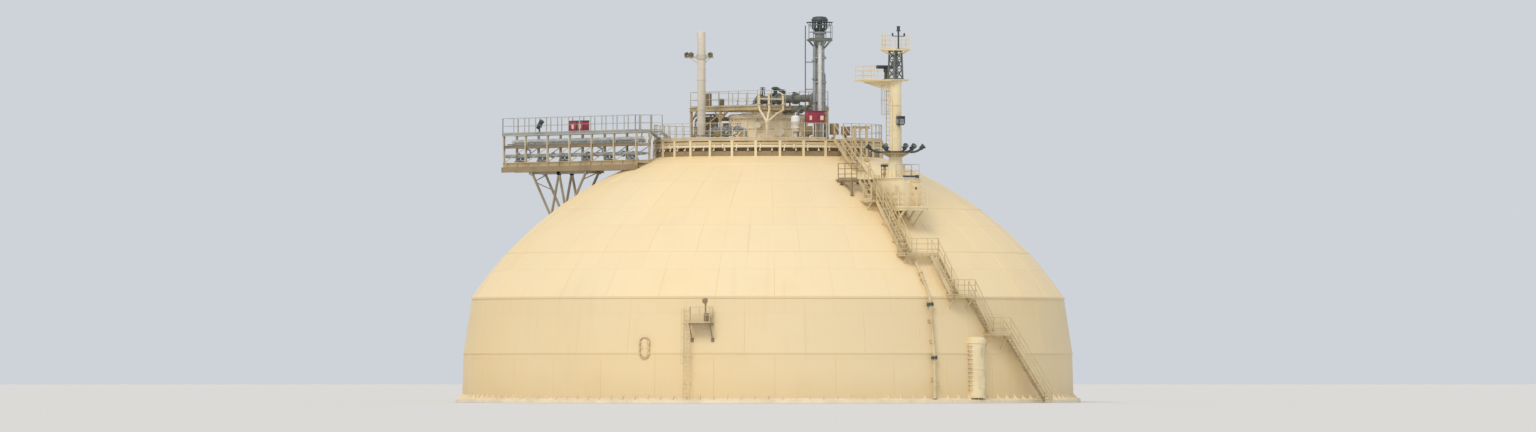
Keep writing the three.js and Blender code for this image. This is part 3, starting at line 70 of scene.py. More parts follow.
def makeStage(v):
    turn = math.radians(v["azimuth"])
    lens = bpy.data.cameras.new("viewCamera")
    lens.sensor_width, lens.clip_end = v["sensor"], v["farClip"]
    lens.lens = v["sensor"] * v["distance"] / (v["frameHeight"] * v["frameShape"])
    camera = added("viewCamera", lens)
    camera.location = math.sin(turn) * v["distance"], -math.cos(turn) * v["distance"], v["eyeHeight"]
    aim = Vector((0, 0, v["aimHeight"])) - camera.location
    camera.rotation_euler = aim.to_track_quat("-Z", "Y").to_euler()
    scene.camera = camera

    sun = bpy.data.lights.new("softKey", "SUN")
    sun.energy, sun.angle, sun.color = v["sunStrength"], math.radians(v["sunAngle"]), tint(v["sunColour"])[:3]
    side, rise = math.radians(v["sunAzimuth"]), math.radians(v["sunElevation"])
    toSun = Vector((math.sin(side) * math.cos(rise), -math.cos(side) * math.cos(rise), math.sin(rise)))
    added("softKey", sun).rotation_euler = toSun.to_track_quat("Z", "Y").to_euler()

    world = bpy.data.worlds.new("paleStudio")
    world.use_nodes = True
    glow = world.node_tree.nodes["Background"].inputs
    glow["Color"].default_value, glow["Strength"].default_value = tint(v["sky"]), v["skyStrength"]
    scene.world = world
    scene.view_settings.view_transform = "Standard"

    disc = bmesh.new()
    bmesh.ops.create_circle(disc, cap_ends=True, segments=96, radius=v["floorRadius"])
    mesh = bpy.data.meshes.new("paleFloor")
    disc.to_mesh(mesh)
    mesh.transform(Matrix.Translation((0, 0, -v["floorDrop"])))
    plain = bpy.data.materials.new("floorPlain")
    plain.use_nodes = True
    plain.node_tree.nodes["Principled BSDF"].inputs["Base Color"].default_value = tint(v["floor"])
    plain.node_tree.nodes["Principled BSDF"].inputs["Roughness"].default_value = v["floorRough"]
    mesh.materials.append(plain)
    floor = added("paleFloor", mesh)


makeStage(stageValues)
print("stage ready")


# Node trees written as expressions

class Wire:
    # a node's output; sums, products and comparisons of wires add Math nodes
    def __init__(self, board, socket):
        self.board, self.socket = board, socket

    def math(self, kind, *others, turned=False):
        values = (self, *others)[::-1] if turned else (self, *others)
        return self.board.node("ShaderNodeMath", {"operation": kind}, dict(enumerate(values)))

    def __add__(self, other):
        return self.math("ADD", other)

    def __sub__(self, other):
        return self.math("SUBTRACT", other)

    def __rsub__(self, other):
        return self.math("SUBTRACT", other, turned=True)

    def __mul__(self, other):
        return self.math("MULTIPLY", other)

    def __truediv__(self, other):
        return self.math("DIVIDE", other)

    def __gt__(self, other):
        return self.math("GREATER_THAN", other)

    def __lt__(self, other):
        return self.math("LESS_THAN", other)

    __radd__ = __add__

    def ramp(self, low, high):
        # 0 at low, 1 at high, smooth between
        return self.board.node("ShaderNodeMapRange", {"interpolation_type": "SMOOTHSTEP"},
                               {"Value": self, "From Min": low, "From Max": high})

    def part(self, name):
        return Wire(self.board, self.socket.node.outputs[name])


class Board:
    # one node tree, and the single way of adding to it
    def __init__(self, tree):
        self.tree = tree

    def node(self, kind, settings=None, inputs=None, out=0):
        made = self.tree.nodes.new(kind)
        for key, value in (settings or {}).items():
            setattr(made, key, value)
        for key, value in (inputs or {}).items():
            if isinstance(value, Wire):
                self.tree.links.new(value.socket, made.inputs[key])
            else:
                made.inputs[key].default_value = value
        return Wire(self, made.outputs[out])

    def layered(self, colour, *layers):
        # colours laid over each other, each by its share
        for share, over in layers:
            colour = self.node("ShaderNodeMix", {"data_type": "RGBA"},
                               {0: share, 6: colour, 7: tint(over)}, 2)
        return colour

    def axes(self, vector):
        split = self.node("ShaderNodeSeparateXYZ", None, {0: vector})
        return split, split.part("Y"), split.part("Z")

    def vector(self, x=0.0, y=0.0, z=0.0):
        return self.node("ShaderNodeCombineXYZ", None, {0: x, 1: y, 2: z})

    def noise(self, place, scale, detail=3.0, rough=0.55):
        return self.node("ShaderNodeTexNoise", None,
                         {"Vector": place, "Scale": scale, "Detail": detail, "Roughness": rough})


# Paints

def newFinish(name):
    material = bpy.data.materials.new(name)
    material.use_nodes = True
    board = Board(material.node_tree)
    return material, board, board.node("ShaderNodeTexCoord", None, None, 3)


def wear(material, board, colour, rough, height, strength, distance, **constants):
    shader = material.node_tree.nodes["Principled BSDF"]
    bump = board.node("ShaderNodeBump", None, {"Strength": strength, "Distance": distance, "Height": height})
    for name, wire in (("Base Color", colour), ("Roughness", rough), ("Normal", bump)):
        board.tree.links.new(wire.socket, shader.inputs[name])
    for name, value in constants.items():
        shader.inputs[name.replace("_", " ")].default_value = value
    return material


coverValues = {
    "plates": 32, "courseHeight": 1.54, "bead": 0.012, "chalk": "e6dcc0", "shade": "d8c194", "rust": "a97b4a",
    "foot": "cfb98e", "footHeight": (0.05, 1.3), "rustShare": 0.2, "platesTone": 0.1, "streaks": 0.22,
    "chalkShare": 0.42, "cloudShare": 0.16, "seamShare": 0.22, "footShare": 0.5, "runTurns": 190,
    "runStretch": 0.16,
    # noises of the object's own metres: scale, detail, roughness
    "broad": (0.11, 4.0), "cloudy": (0.55, 5.0, 0.6), "fine": (26.0, 2.0), "runs": (1.0, 4.0, 0.65),
    "specks": (7.5, 3.0), "dents": (1.1, 2.0), "rough": 0.5, "bump": (0.25, 0.02),
}


def coverPaint(name, base, v):
    # weathered paint of the welded cover: plate tones, weld seams, rain streaks, chalking, foot grime
    material, b, place = newFinish(name)
    x, y, z = b.axes(place)
    turn = y.math("ARCTAN2", x) / (2 * math.pi) + 0.5
    row = z / v["courseHeight"]
    rowIndex = row.math("FLOOR")
    column = turn * v["plates"] + rowIndex.math("MODULO", 2.0) * 0.5
    columnIndex = column.math("FLOOR")
    plate = b.node("ShaderNodeTexWhiteNoise", None, {"Vector": b.vector(columnIndex, rowIndex)})
    offSide = 0.5 - (column - columnIndex - 0.5).math("ABSOLUTE")
    offEdge = 0.5 - (row - rowIndex - 0.5).math("ABSOLUTE")
    seam = (1 - offSide.ramp(0.0, v["bead"])).math("MAXIMUM", 1 - offEdge.ramp(0.0, v["bead"]))
    broad, cloudy, fine, dents = [b.noise(place, *v[key]) for key in ("broad", "cloudy", "fine", "dents")]
    runs = b.noise(b.vector(turn * v["runTurns"], 0.0, z * v["runStretch"]), *v["runs"])
    runMask = runs.ramp(0.54, 0.74) * cloudy.ramp(0.35, 0.6)
    specks = b.noise(place, *v["specks"]).ramp(0.70, 0.78) * runs.ramp(0.5, 0.7)
    grime = (1 - z.ramp(*v["footHeight"])) * (0.25 + cloudy * 0.7)
    tone = b.layered(tint(base), (broad.ramp(0.3, 0.7) * v["chalkShare"], v["chalk"]),
                     (plate * v["platesTone"], v["shade"]),
                     (cloudy.ramp(0.45, 0.8) * v["cloudShare"], v["shade"]),
                     (runMask * v["streaks"], v["shade"]), (seam * v["seamShare"], v["shade"]),
                     (specks * v["rustShare"], v["rust"]), (grime * v["footShare"], v["foot"]))
    rough = v["rough"] + cloudy * 0.16 + runMask * 0.1
    height = seam * 0.35 + dents * 0.5 + fine * 0.06
    return wear(material, b, tone, rough, height, *v["bump"])


finishValues = {
    # base, worn tone, rust share, roughness, metallic
    "mastCream": ("efe0ba", "d8c7a0", 0.16, 0.50, 0.0),
    "poleGrey": ("e0d9cb", "c5bca9", 0.14, 0.50, 0.0),
    "palePanel": ("efe4cb", "d8cbaf", 0.07, 0.52, 0.0),
    "railTan": ("d0c9b7", "aaa28d", 0.24, 0.52, 0.0),
    "steelTan": ("d2bf98", "ab966c", 0.32, 0.55, 0.05),
    "stairTan": ("dccba4", "b7a47a", 0.26, 0.52, 0.0),
    "railGrey": ("b9bab3", "93958f", 0.16, 0.50, 0.05),
    # a darker brown: the own colour of some cabinets, and partly painted shade on the ring collar, walkway
    # chords, shoulder deck and light stage
    "chordBrown": ("a08d6c", "78674b", 0.22, 0.55, 0.05),
    "legGrey": ("a89f8b", "807765", 0.20, 0.55, 0.05),
    "pipeGrey": ("a0a7a8", "7a8182", 0.12, 0.45, 0.12),
    "pipeDark": ("7c807b", "575b56", 0.16, 0.48, 0.12),
    # pale grey of the pipe in front of the vent trunk: a painted highlight
    "galvanised": ("dcdcd8", "b9b9b4", 0.08, 0.42, 0.15),
    "darkSteel": ("4b5658", "30383a", 0.14, 0.46, 0.2),
    "boxRed": ("a93f55", "7c2c3d", 0.12, 0.45, 0.0),
    "drumWhite": ("f1f1ec", "d3d2c8", 0.10, 0.42, 0.0),
}
fittingValues = {
    "rust": "7a5636", "broad": (1.3, 4.0), "mid": (6.0, 4.0, 0.6), "fine": (60.0, 2.0),
    "chips": (17.0, 4.0, 0.7),
    "runs": (1.0, 3.0, 0.6), "runWidth": 9.0, "runStretch": 1.1, "wornShare": 0.55, "runShare": 0.4,
    "bump": (0.3, 0.006),
}


def fittingPaint(name, base, worn, rustShare, roughness, metallic):
    # painted steel of the fittings: brush tone, dirt in the lee, rust at chips, a fine orange peel
    v = fittingValues
    material, b, place = newFinish(name)
    x, y, z = b.axes(place)
    broad, mid, fine, chips = [b.noise(place, *v[key]) for key in ("broad", "mid", "fine", "chips")]
    runs = b.noise(b.vector(x * v["runWidth"], y * v["runWidth"], z * v["runStretch"]), *v["runs"])
    chips = chips.ramp(0.60, 0.70) * mid.ramp(0.42, 0.62)
    tone = b.layered(tint(base), (broad.ramp(0.35, 0.7) * v["wornShare"], worn),
                     (runs.ramp(0.52, 0.75) * v["runShare"], worn), (chips * rustShare, v["rust"]))
    rough = roughness + mid * 0.14 + chips * 0.2
    return wear(material, b, tone, rough, fine * 0.12 + mid * 0.25 - chips * 0.5, *v["bump"],
                Metallic=metallic)


glassValues = {"base": "2c3436", "dust": "b9b29a", "dustScale": 9.0, "ribScale": 30.0, "coat": 0.8,
               "bump": (0.2, 0.004)}


def glassPaint(name, v):
    # dark ribbed glass with a little dust
    material, b, place = newFinish(name)
    ribs = b.node("ShaderNodeTexWave", None, {"Vector": place, "Scale": v["ribScale"], "Distortion": 0.5})
    dust = b.noise(place, v["dustScale"])
    tone = b.layered(tint(v["base"]), (dust.ramp(0.4, 0.7) * 0.5, v["dust"]))
    return wear(material, b, tone, 0.12 + dust * 0.2, ribs, *v["bump"], Coat_Weight=v["coat"])


finish = {name: fittingPaint(name, *values) for name, values in finishValues.items()}
finish["coverHigh"] = coverPaint("coverHigh", "fce3b0", coverValues)
finish["coverLow"] = coverPaint("coverLow", "efd6a2", coverValues)
finish["windowDark"] = glassPaint("windowDark", glassValues)
print("paints ready:", len(finish))


# Drawing solids: every part is closed, and a shape may hold many parts

def unit(vector):
    return Vector(vector).normalized()


def around(radius, azimuth, z=0.0):
    # a point at a radius and an azimuth in degrees
    a = math.radians(azimuth)
    return Vector((radius * math.cos(a), radius * math.sin(a), z))


def mixed(start, end, share):
    return Vector(start).lerp(Vector(end), share)


def crosswise(along):
    # two directions square to this one and to each other
    across = along.orthogonal().normalized()
    return across, along.cross(across)


def circle(centre, across, back, radius, sides):
    turns = [2 * math.pi * i / sides for i in range(sides)]
    return [centre + across * (radius * math.cos(a)) + back * (radius * math.sin(a)) for a in turns]


class Shape:
    def __init__(self, place=(0, 0, 0), turn=0.0):
        # parts are given in a frame that stands at place, turned about its upright
        self.points, self.faces = [], []
        self.frame = Matrix.Translation(place) @ Matrix.Rotation(math.radians(turn), 4, "Z")

    def add(self, points, faces):
        start = len(self.points)
        self.points += [self.frame @ Vector(p) for p in points]
        self.faces += [[start + i for i in face] for face in faces]
        return self

    def many(self, kind, rows):
        # one part of this kind for each row of its arguments
        for row in rows:
            getattr(self, kind)(*row)
        return self

    def rings(self, rings, loop=False):
        # skins rings of equal count, capped at both ends unless they close on themselves
        count = len(rings[0])
        points = [p for ring in rings for p in ring]
        faces = []
        for k in range(len(rings) if loop else len(rings) - 1):
            a, b = k * count, (k + 1) % len(rings) * count
            for i in range(count):
                j = (i + 1) % count
                faces.append((a + i, a + j, b + j, b + i))
        if not loop:
            faces.append(tuple(range(count))[::-1])
            faces.append(tuple(len(points) - count + i for i in range(count)))
        return self.add(points, faces)

    def block(self, sizeX, sizeY, sizeZ, x=0.0, y=0.0, z=0.0, turn=0.0):
        # stands on z
        side, back = around(1, turn), around(1, turn + 90)
        corners = [(-1, -1), (1, -1), (1, 1), (-1, 1)]
        low = [Vector((x, y, z)) + side * (i * sizeX / 2) + back * (j * sizeY / 2) for i, j in corners]
        return self.rings([low, [p + Vector((0, 0, sizeZ)) for p in low]])

    def plate(self, outline, thick, y=0.0):
        # an upright outline of (x, z) points, thick along Y
        return self.rings([[(x, y + t, z) for x, z in outline] for t in (-thick / 2, thick / 2)])

    def section(self, start, end, outline):
        # runs a flat outline of (across, up) points from start to end
        start, end = Vector(start), Vector(end)
        along = (end - start).normalized()
        across = Vector((1, 0, 0)) if abs(along.z) > 0.999 else Vector((0, 0, 1)).cross(along).normalized()
        up = along.cross(across)
        return self.rings([[p + across * a + up * u for a, u in outline] for p in (start, end)])

    def bar(self, start, end, width, depth=None):
        w, d = width / 2, (depth or width) / 2
        return self.section(start, end, [(-w, -d), (w, -d), (w, d), (-w, d)])

    def channel(self, start, end, width, depth, web=0.03):
        # an I-section standing on its edge
        w, d, t = width / 2, depth / 2, web / 2
        right = [(w, -d), (w, -d + web), (t, -d + web), (t, d - web), (w, d - web), (w, d)]
        return self.section(start, end, right + [(-a, u) for a, u in reversed(right)])

    def rod(self, start, end, radius, sides=12, endRadius=None):
        start, end = Vector(start), Vector(end)
        across, back = crosswise((end - start).normalized())
        ends = ((start, radius), (end, radius if endRadius is None else endRadius))
        return self.rings([circle(p, across, back, r, sides) for p, r in ends])

    def pin(self, radius, low, high, sides=12, x=0.0, y=0.0):
        # an upright rod
        return self.rod((x, y, low), (x, y, high), radius, sides)

    def tube(self, points, radius, sides=12):
        # a bent pipe through points, its section carried along without twist
        points = [Vector(p) for p in points]
        tangents = [unit(b - a) for a, b in zip(points[:1] + points, points[1:] + points[-1:])]
        across = tangents[0].orthogonal().normalized()
        rings = []
        for p, t in zip(points, tangents):
            across = (across - t * across.dot(t)).normalized()
            rings.append(circle(p, across, t.cross(across), radius, sides))
        return self.rings(rings)

    def turned(self, outline, sides=48, x=0.0, y=0.0):
        # an outline of (radius, z) points turned about an upright; it ends on the axis or closes on itself
        solid = outline[0][0] < 1e-6
        rings = []
        for r, z in outline[1:-1] if solid else outline:
            rings.append([around(r, 360 * i / sides, z) + Vector((x, y, 0)) for i in range(sides)])
        if not solid:
            return self.rings(rings, loop=True)
        points = [Vector((x, y, outline[0][1]))] + [p for ring in rings for p in ring]
        points.append(Vector((x, y, outline[-1][1])))
        faces = []
        last = 1 + (len(rings) - 1) * sides
        for i in range(sides):
            j = (i + 1) % sides
            faces.append((0, 1 + j, 1 + i))
            for k in range(len(rings) - 1):
                a, c = 1 + k * sides, 1 + (k + 1) * sides
                faces.append((a + i, a + j, c + j, c + i))
            faces.append((last + i, last + j, len(points) - 1))
        return self.add(points, faces)

    def hoop(self, inner, outer, z, height, sides=48, x=0.0, y=0.0):
        return self.turned([[inner, z], [outer, z], [outer, z + height], [inner, z + height]], sides, x, y)

    def ringPipe(self, radius, z, thick, sides, steps):
        # a round bar bent to a level ring
        turns = [2 * math.pi * i / sides for i in range(sides)]
        return self.turned([[radius + thick * math.cos(a), z + thick * math.sin(a)] for a in turns], steps)

    def flange(self, place, along, radius, thick, bolts=12):
        # a flange with its bolt heads, centred on place
        place, along = Vector(place), unit(along)
        self.rod(place - along * thick / 2, place + along * thick / 2, radius, 24)
        for spot in circle(place, *crosswise(along), radius * 0.84, bolts):
            self.rod(spot - along * thick, spot + along * thick, radius * 0.075, 6)
        return self

    def wheel(self, place, along, radius, spokes=4):
        # a valve's handwheel on its spindle
        place, along = Vector(place), unit(along)
        across, back = crosswise(along)
        rim = circle(place, across, back, radius, 20)
        self.rings([circle(p, unit(p - place), along, radius * 0.09, 6) for p in rim], loop=True)
        for spot in circle(place, across, back, radius, spokes):
            self.rod(place, spot, radius * 0.07, 6)
        return self.rod(place - along * radius * 0.2, place + along * radius * 0.25, radius * 0.16, 8)

    def mesh(self, name):
        made = bmesh.new()
        corners = [made.verts.new(p) for p in self.points]
        for face in self.faces:
            made.faces.new([corners[i] for i in face])
        bmesh.ops.recalc_face_normals(made, faces=made.faces)
        mesh = bpy.data.meshes.new(name)
        made.to_mesh(mesh)
        made.free()
        return mesh


def plain(part, paint):
    # a shape's mesh; a row or rail is a function that grows its mesh once the paint is known
    return part.mesh("part") if isinstance(part, Shape) else part(paint)


def gathered(name, paint, parts):
    # shapes, rows and rails as one mesh of one paint
    whole = bmesh.new()
    for part in parts:
        whole.from_mesh(plain(part, paint))
    made = bpy.data.meshes.new(name)
    whole.to_mesh(made)
    whole.free()
    made.polygons.foreach_set("material_index", [0] * len(made.polygons))
    made.materials.clear()
    made.materials.append(finish[paint])
    return made


def evaluated(holder):
    # the holder's mesh with its modifiers worked out; the holder goes
    bpy.context.view_layer.update()
    graph = bpy.context.evaluated_depsgraph_get()
    mesh = bpy.data.meshes.new_from_object(holder.evaluated_get(graph), depsgraph=graph)
    holder.modifiers.clear()
    bpy.data.objects.remove(holder)
    return mesh


def place(name, mesh, slotName, replaced=(), sharp=38):
    # makes a finished piece of a full-size mesh: halved, shaded, riding on the body
    mesh.transform(Matrix.Scale(modelScale, 4))
    mesh.name = name
    mesh.polygons.foreach_set("use_smooth", [True] * len(mesh.polygons))
    mesh.set_sharp_from_angle(angle=math.radians(sharp))
    made = added(name, mesh)
    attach(made, "root")
    if replaced:
        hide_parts(*replaced)


def draw(name, paint, slotName, parts, *replaced, bevel=0.0):
    # a piece joined from its parts, its edges eased where a bevel is given
    mesh = gathered(name, paint, parts)
    if bevel:
        holder = added(name + "Raw", mesh)
        ease = holder.modifiers.new("ease", "BEVEL")
        ease.width, ease.segments, ease.limit_method = bevel, 2, "ANGLE"
        mesh = evaluated(holder)
    place(name, mesh, slotName, replaced)


# Geometry Nodes: a tree per kind of repeated part, fed by guide lines

class Rule(Board):
    # a node tree with named inputs; it ends in Realize Instances and Set Material
    def __init__(self, name, sizes):
        super().__init__(bpy.data.node_groups.new(name, "GeometryNodeTree"))
        face = self.tree.interface
        face.new_socket("Guide", in_out="INPUT", socket_type="NodeSocketGeometry")
        for label, value in sizes.items():
            kind = "NodeSocketInt" if isinstance(value, int) else "NodeSocketFloat"
            face.new_socket(label, in_out="INPUT", socket_type=kind).default_value = value
        face.new_socket("Finish", in_out="INPUT", socket_type="NodeSocketMaterial")
        face.new_socket("Result", in_out="OUTPUT", socket_type="NodeSocketGeometry")
        self.entry = self.tree.nodes.new("NodeGroupInput")

    def given(self, label):
        return Wire(self, self.entry.outputs[label])

    def finished(self, *parts):
        join = self.tree.nodes.new("GeometryNodeJoinGeometry")
        for part in parts:
            self.tree.links.new(part.socket, join.inputs[0])
        whole = self.node("GeometryNodeRealizeInstances", None, {0: Wire(self, join.outputs[0])})
        painted = self.node("GeometryNodeSetMaterial", None,
                            {"Geometry": whole, "Material": self.given("Finish")})
        self.tree.links.new(painted.socket, self.tree.nodes.new("NodeGroupOutput").inputs[0])
        return self

    def moved(self, geometry, offset):
        return self.node("GeometryNodeSetPosition", None, {"Geometry": geometry, "Offset": offset})

    def repeated(self, points, part, **turn):
        return self.node("GeometryNodeInstanceOnPoints", None, {"Points": points, "Instance": part, **turn})

    def swept(self, curve, radius, sides):
        ring = self.node("GeometryNodeCurvePrimitiveCircle", {"mode": "RADIUS"},
                         {"Resolution": sides, "Radius": radius})
        return self.node("GeometryNodeCurveToMesh", None,
                         {"Curve": curve, "Profile Curve": ring, "Fill Caps": True})

    def grown(self, guide, paint, **values):
        # runs the tree on a guide mesh and returns the plain mesh
        holder = added(self.tree.name + "Guide", guide)
        modifier = holder.modifiers.new("rule", "NODES")
        modifier.node_group = self.tree
        sockets = {item.name: item.identifier
                   for item in self.tree.interface.items_tree if item.in_out == "INPUT"}
        for label, value in values.items():
            modifier[sockets[label.replace("_", " ")]] = value
        modifier[sockets["Finish"]] = finish[paint]
        return evaluated(holder)


def courseRule():
    # one course of the cover: a closed shell between two heights, on a cone or on the sphere
    r = Rule("coverCourse", {"Foot Radius": 21.5, "Foot Height": 0.35, "Top Radius": 21.4, "Top Height": 3.5,
                             "Sphere Radius": 25.0, "Centre Height": -6.5, "Round": 0.0, "Wall": 0.24,
                             "Sides": 192, "Steps": 4})
    steps, sphere, wall, rounded = [r.given(label) for label in ("Steps", "Sphere Radius", "Wall", "Round")]
    footZ, topZ, centre = [r.given(label) for label in ("Foot Height", "Top Height", "Centre Height")]
    footR, topR = r.given("Foot Radius"), r.given("Top Radius")
    rows = steps * 2 + 2
    grid = r.node("GeometryNodeMeshGrid", None,
                  {"Size X": 1.0, "Size Y": 1.0, "Vertices X": r.given("Sides") + 1, "Vertices Y": rows + 1})
    x, y = r.axes(r.node("GeometryNodeInputPosition"))[:2]
    turn = (x + 0.5) * (2 * math.pi)
    line = ((y + 0.5) * rows + 0.5).math("FLOOR")
    share = line.math("MINIMUM", steps * 2 + 1 - line).math("MAXIMUM", 0.0) / steps
    inner = (line > steps + 0.5) * (line < steps * 2 + 1.5) * wall
    lowTurn = ((footZ - centre) / sphere).math("ARCSINE")
    highTurn = ((topZ - centre) / sphere).math("ARCSINE")
    rise = lowTurn + (highTurn - lowTurn) * share
    radius = rounded * (sphere - inner) * rise.math("COSINE")
    radius = radius + (1 - rounded) * (footR + (topR - footR) * share - inner)
    height = rounded * (centre + (sphere - inner) * rise.math("SINE"))
    height = height + (1 - rounded) * (footZ + (topZ - footZ) * share)
    spot = r.vector(radius * turn.math("COSINE"), radius * turn.math("SINE"), height)
    bent = r.node("GeometryNodeSetPosition", None, {"Geometry": grid, "Position": spot})
    return r.finished(r.node("GeometryNodeMergeByDistance", None, {"Geometry": bent, "Distance": 0.002}))


def roundRule():
    # the guide part repeated about an upright axis
    r = Rule("roundRow", {"Count": 12, "Start": 0.0, "Axis X": 0.0, "Axis Y": 0.0})
    axis = r.vector(r.given("Axis X"), r.given("Axis Y"))
    points = r.node("GeometryNodePoints", None, {"Count": r.given("Count"), "Position": axis})
    turn = r.given("Start") + r.node("GeometryNodeInputIndex") * 360.0 / r.given("Count")
    return r.finished(r.repeated(points, r.given("Guide"), Rotation=r.vector(z=turn * (math.pi / 180))))


def lineRule():
    # the guide part repeated along a straight line
    r = Rule("lineRow", {"Count": 8, "Step X": 0.0, "Step Y": 0.0, "Step Z": 0.0})
    index = r.node("GeometryNodeInputIndex")
    spot = r.vector(*[index * r.given(label) for label in ("Step X", "Step Y", "Step Z")])
    points = r.node("GeometryNodePoints", None, {"Count": r.given("Count"), "Position": spot})
    return r.finished(r.repeated(points, r.given("Guide")))


def railRule():
    # a handrail over guide lines: a post at every point, bars above each other, a toe board
    r = Rule("railing", {"Height": 1.1, "Bars": 3, "Post": 0.035, "Bar": 0.028, "Toe": 0.12})
    height, bars, guide, toe = [r.given(label) for label in ("Height", "Bars", "Guide", "Toe")]
    upright = r.node("GeometryNodeCurvePrimitiveLine", None,
                     {"Start": (0.0, 0.0, -0.02), "End": r.vector(z=height)})
    posts = r.repeated(guide, r.swept(upright, r.given("Post"), 8))
    line = r.node("GeometryNodeMeshToCurve", None, {"Mesh": guide})
    copies = r.node("GeometryNodeDuplicateElements", {"domain": "SPLINE"}, {"Geometry": line, "Amount": bars})
    lifted = r.moved(copies, r.vector(z=(copies.part("Duplicate Index") + 1) * height / bars))
    low = r.node("GeometryNodeSetCurveNormal", {"mode": "Z_UP"}, {"Curve": line})
    plank = r.node("GeometryNodeCurvePrimitiveQuadrilateral", {"mode": "RECTANGLE"},
                   {"Width": 0.018, "Height": toe})
    board = r.node("GeometryNodeCurveToMesh", None, {"Curve": r.moved(low, r.vector(z=toe * 0.5 + 0.02)),
                                                     "Profile Curve": plank, "Fill Caps": True})
    return r.finished(posts, r.swept(lifted, r.given("Bar"), 8), board)


def strutRule():
    # a round bar along every guide line
    r = Rule("struts", {"Radius": 0.06, "Sides": 8})
    line = r.node("GeometryNodeMeshToCurve", None, {"Mesh": r.given("Guide")})
    return r.finished(r.swept(line, r.given("Radius"), r.given("Sides")))


rules = {"course": courseRule(), "round": roundRule(), "line": lineRule(), "rail": railRule(),
         "strut": strutRule()}
print("node rules ready")


def guideLines(lines):
    # a mesh of edges only, one chain for each line of points
    mesh = bpy.data.meshes.new("guide")
    points, edges = [], []
    for line in lines:
        edges += [(len(points) + i, len(points) + i + 1) for i in range(len(line) - 1)]
        points += [tuple(p) for p in line]
    mesh.from_pydata(points, edges, [])
    return mesh


def spaced(line, step):
    # the same line with a point at least every step
    points = [Vector(line[0])]
    for start, end in zip(line, line[1:]):
        count = max(1, round((Vector(end) - Vector(start)).length / step))
        points += [mixed(start, end, i / count) for i in range(1, count + 1)]
    return points


def roundRow(part, count, start=0.0, x=0.0, y=0.0):
    return lambda paint: rules["round"].grown(plain(part, paint), paint, Count=count, Start=start,
                                              Axis_X=x, Axis_Y=y)


def lineRow(part, count, step):
    sizes = dict(zip(("Step_X", "Step_Y", "Step_Z"), step))
    return lambda paint: rules["line"].grown(plain(part, paint), paint, Count=count, **sizes)


def rails(lines, step, height, bars, post, bar, toe):
    # a handrail along lines of points, with a post at least every step
    sizes = {"Height": height, "Bars": bars, "Post": post, "Bar": bar, "Toe": toe}
    return lambda paint: rules["rail"].grown(guideLines([spaced(line, step) for line in lines]), paint,
                                             **sizes)


def struts(lines, radius, sides=8):
    return lambda paint: rules["strut"].grown(guideLines(lines), paint, Radius=radius, Sides=sides)


ladderValues = {"half": 0.225, "step": 0.3, "stile": (0.025, 0.07), "rung": 0.018,
                "hoopStep": 0.75, "hoop": 0.016,
                "strip": 0.013, "cageDepth": 0.36, "cageWidth": 1.45, "strips": (2, 4, 5, 6, 8)}


def ladder(foot, top, azimuth, cage=None):
    # two stiles and their rungs; cage gives the heights between which hoops guard the climber
    v = ladderValues
    foot, top, side = Vector(foot), Vector(top), around(v["half"], azimuth + 90)
    count = int((top - foot).length / v["step"])
    rung = Shape().rod(foot + side * 0.96, foot - side * 0.96, v["rung"], 6)
    stiles = Shape().many("bar", [(foot + side * s, top + side * s, *v["stile"]) for s in (1, -1)])
    parts = [stiles, lineRow(rung, count, (top - foot) / count)]
    if cage:
        back = around(v["cageDepth"], azimuth)
        turns = [math.pi * k / 8 for k in range(9)]
        bend = [side * math.cos(a) * v["cageWidth"] + back * (1.0 + math.sin(a)) for a in turns]
        bend = [side * 0.98] + bend + [side * -0.98]
        start, end = [mixed(foot, top, (z - foot.z) / (top.z - foot.z)) for z in cage]
        count = max(2, int((cage[1] - cage[0]) / v["hoopStep"]))
        hoop = Shape().tube([start + p for p in bend], v["hoop"], 6)
        strips = [[start + bend[k], end + bend[k]] for k in v["strips"]]
        parts += [lineRow(hoop, count + 1, (end - start) / count), struts(strips, v["strip"], 6)]
    return parts


# The cover

cover = {"footRadius": 22.0, "footInner": 21.0, "wallRadius": 21.5, "lowSeam": 3.5, "lowRadius": 21.4,
         "highSeam": 7.36, "sphere": 25.0, "centre": -6.5, "wall": 0.24, "sides": 192}
courses = {
    # paint, slot, foot and top height, steps, rounded, node
    "lower_wall": ("coverLow", "cover_low", 0.352, 3.4985, 3, 0.0, "lower_band"),
    "knuckle_wall": ("coverLow", "cover_low", 3.5015, 7.3585, 3, 0.0, "knuckle_band"),
    "dome_shell": ("coverHigh", "cover_high", 7.3615, 16.6185, 40, 1.0, "sphere_zone"),
    "crown_shell": ("coverHigh", "cover_high", 16.6215, 18.4999, 24, 1.0, "crown_cap"),
}


def domeRadius(z):
    if z > cover["highSeam"] - 0.001:
        return math.sqrt(cover["sphere"] ** 2 - (z - cover["centre"]) ** 2)
    if z > cover["lowSeam"]:
        share = (z - cover["lowSeam"]) / (cover["highSeam"] - cover["lowSeam"])
        return cover["lowRadius"] + (domeRadius(cover["highSeam"]) - cover["lowRadius"]) * share
    return cover["wallRadius"] + (cover["lowRadius"] - cover["wallRadius"]) * max(0.0, z) / cover["lowSeam"]


def domeHeight(radius):
    return cover["centre"] + math.sqrt(cover["sphere"] ** 2 - radius ** 2)


def makeCourse(name, paint, slotName, low, high, steps, rounded, node):
    mesh = rules["course"].grown(guideLines([]), paint, Foot_Radius=domeRadius(low), Foot_Height=low,
                                 Top_Radius=domeRadius(high), Top_Height=high, Sphere_Radius=cover["sphere"],
                                 Centre_Height=cover["centre"], Round=rounded, Wall=cover["wall"],
                                 Sides=cover["sides"], Steps=steps)
    shell = bmesh.new()
    shell.from_mesh(mesh)
    bmesh.ops.recalc_face_normals(shell, faces=shell.faces)
    shell.to_mesh(mesh)
    shell.free()
    place(name, mesh, slotName, (node,), 50)


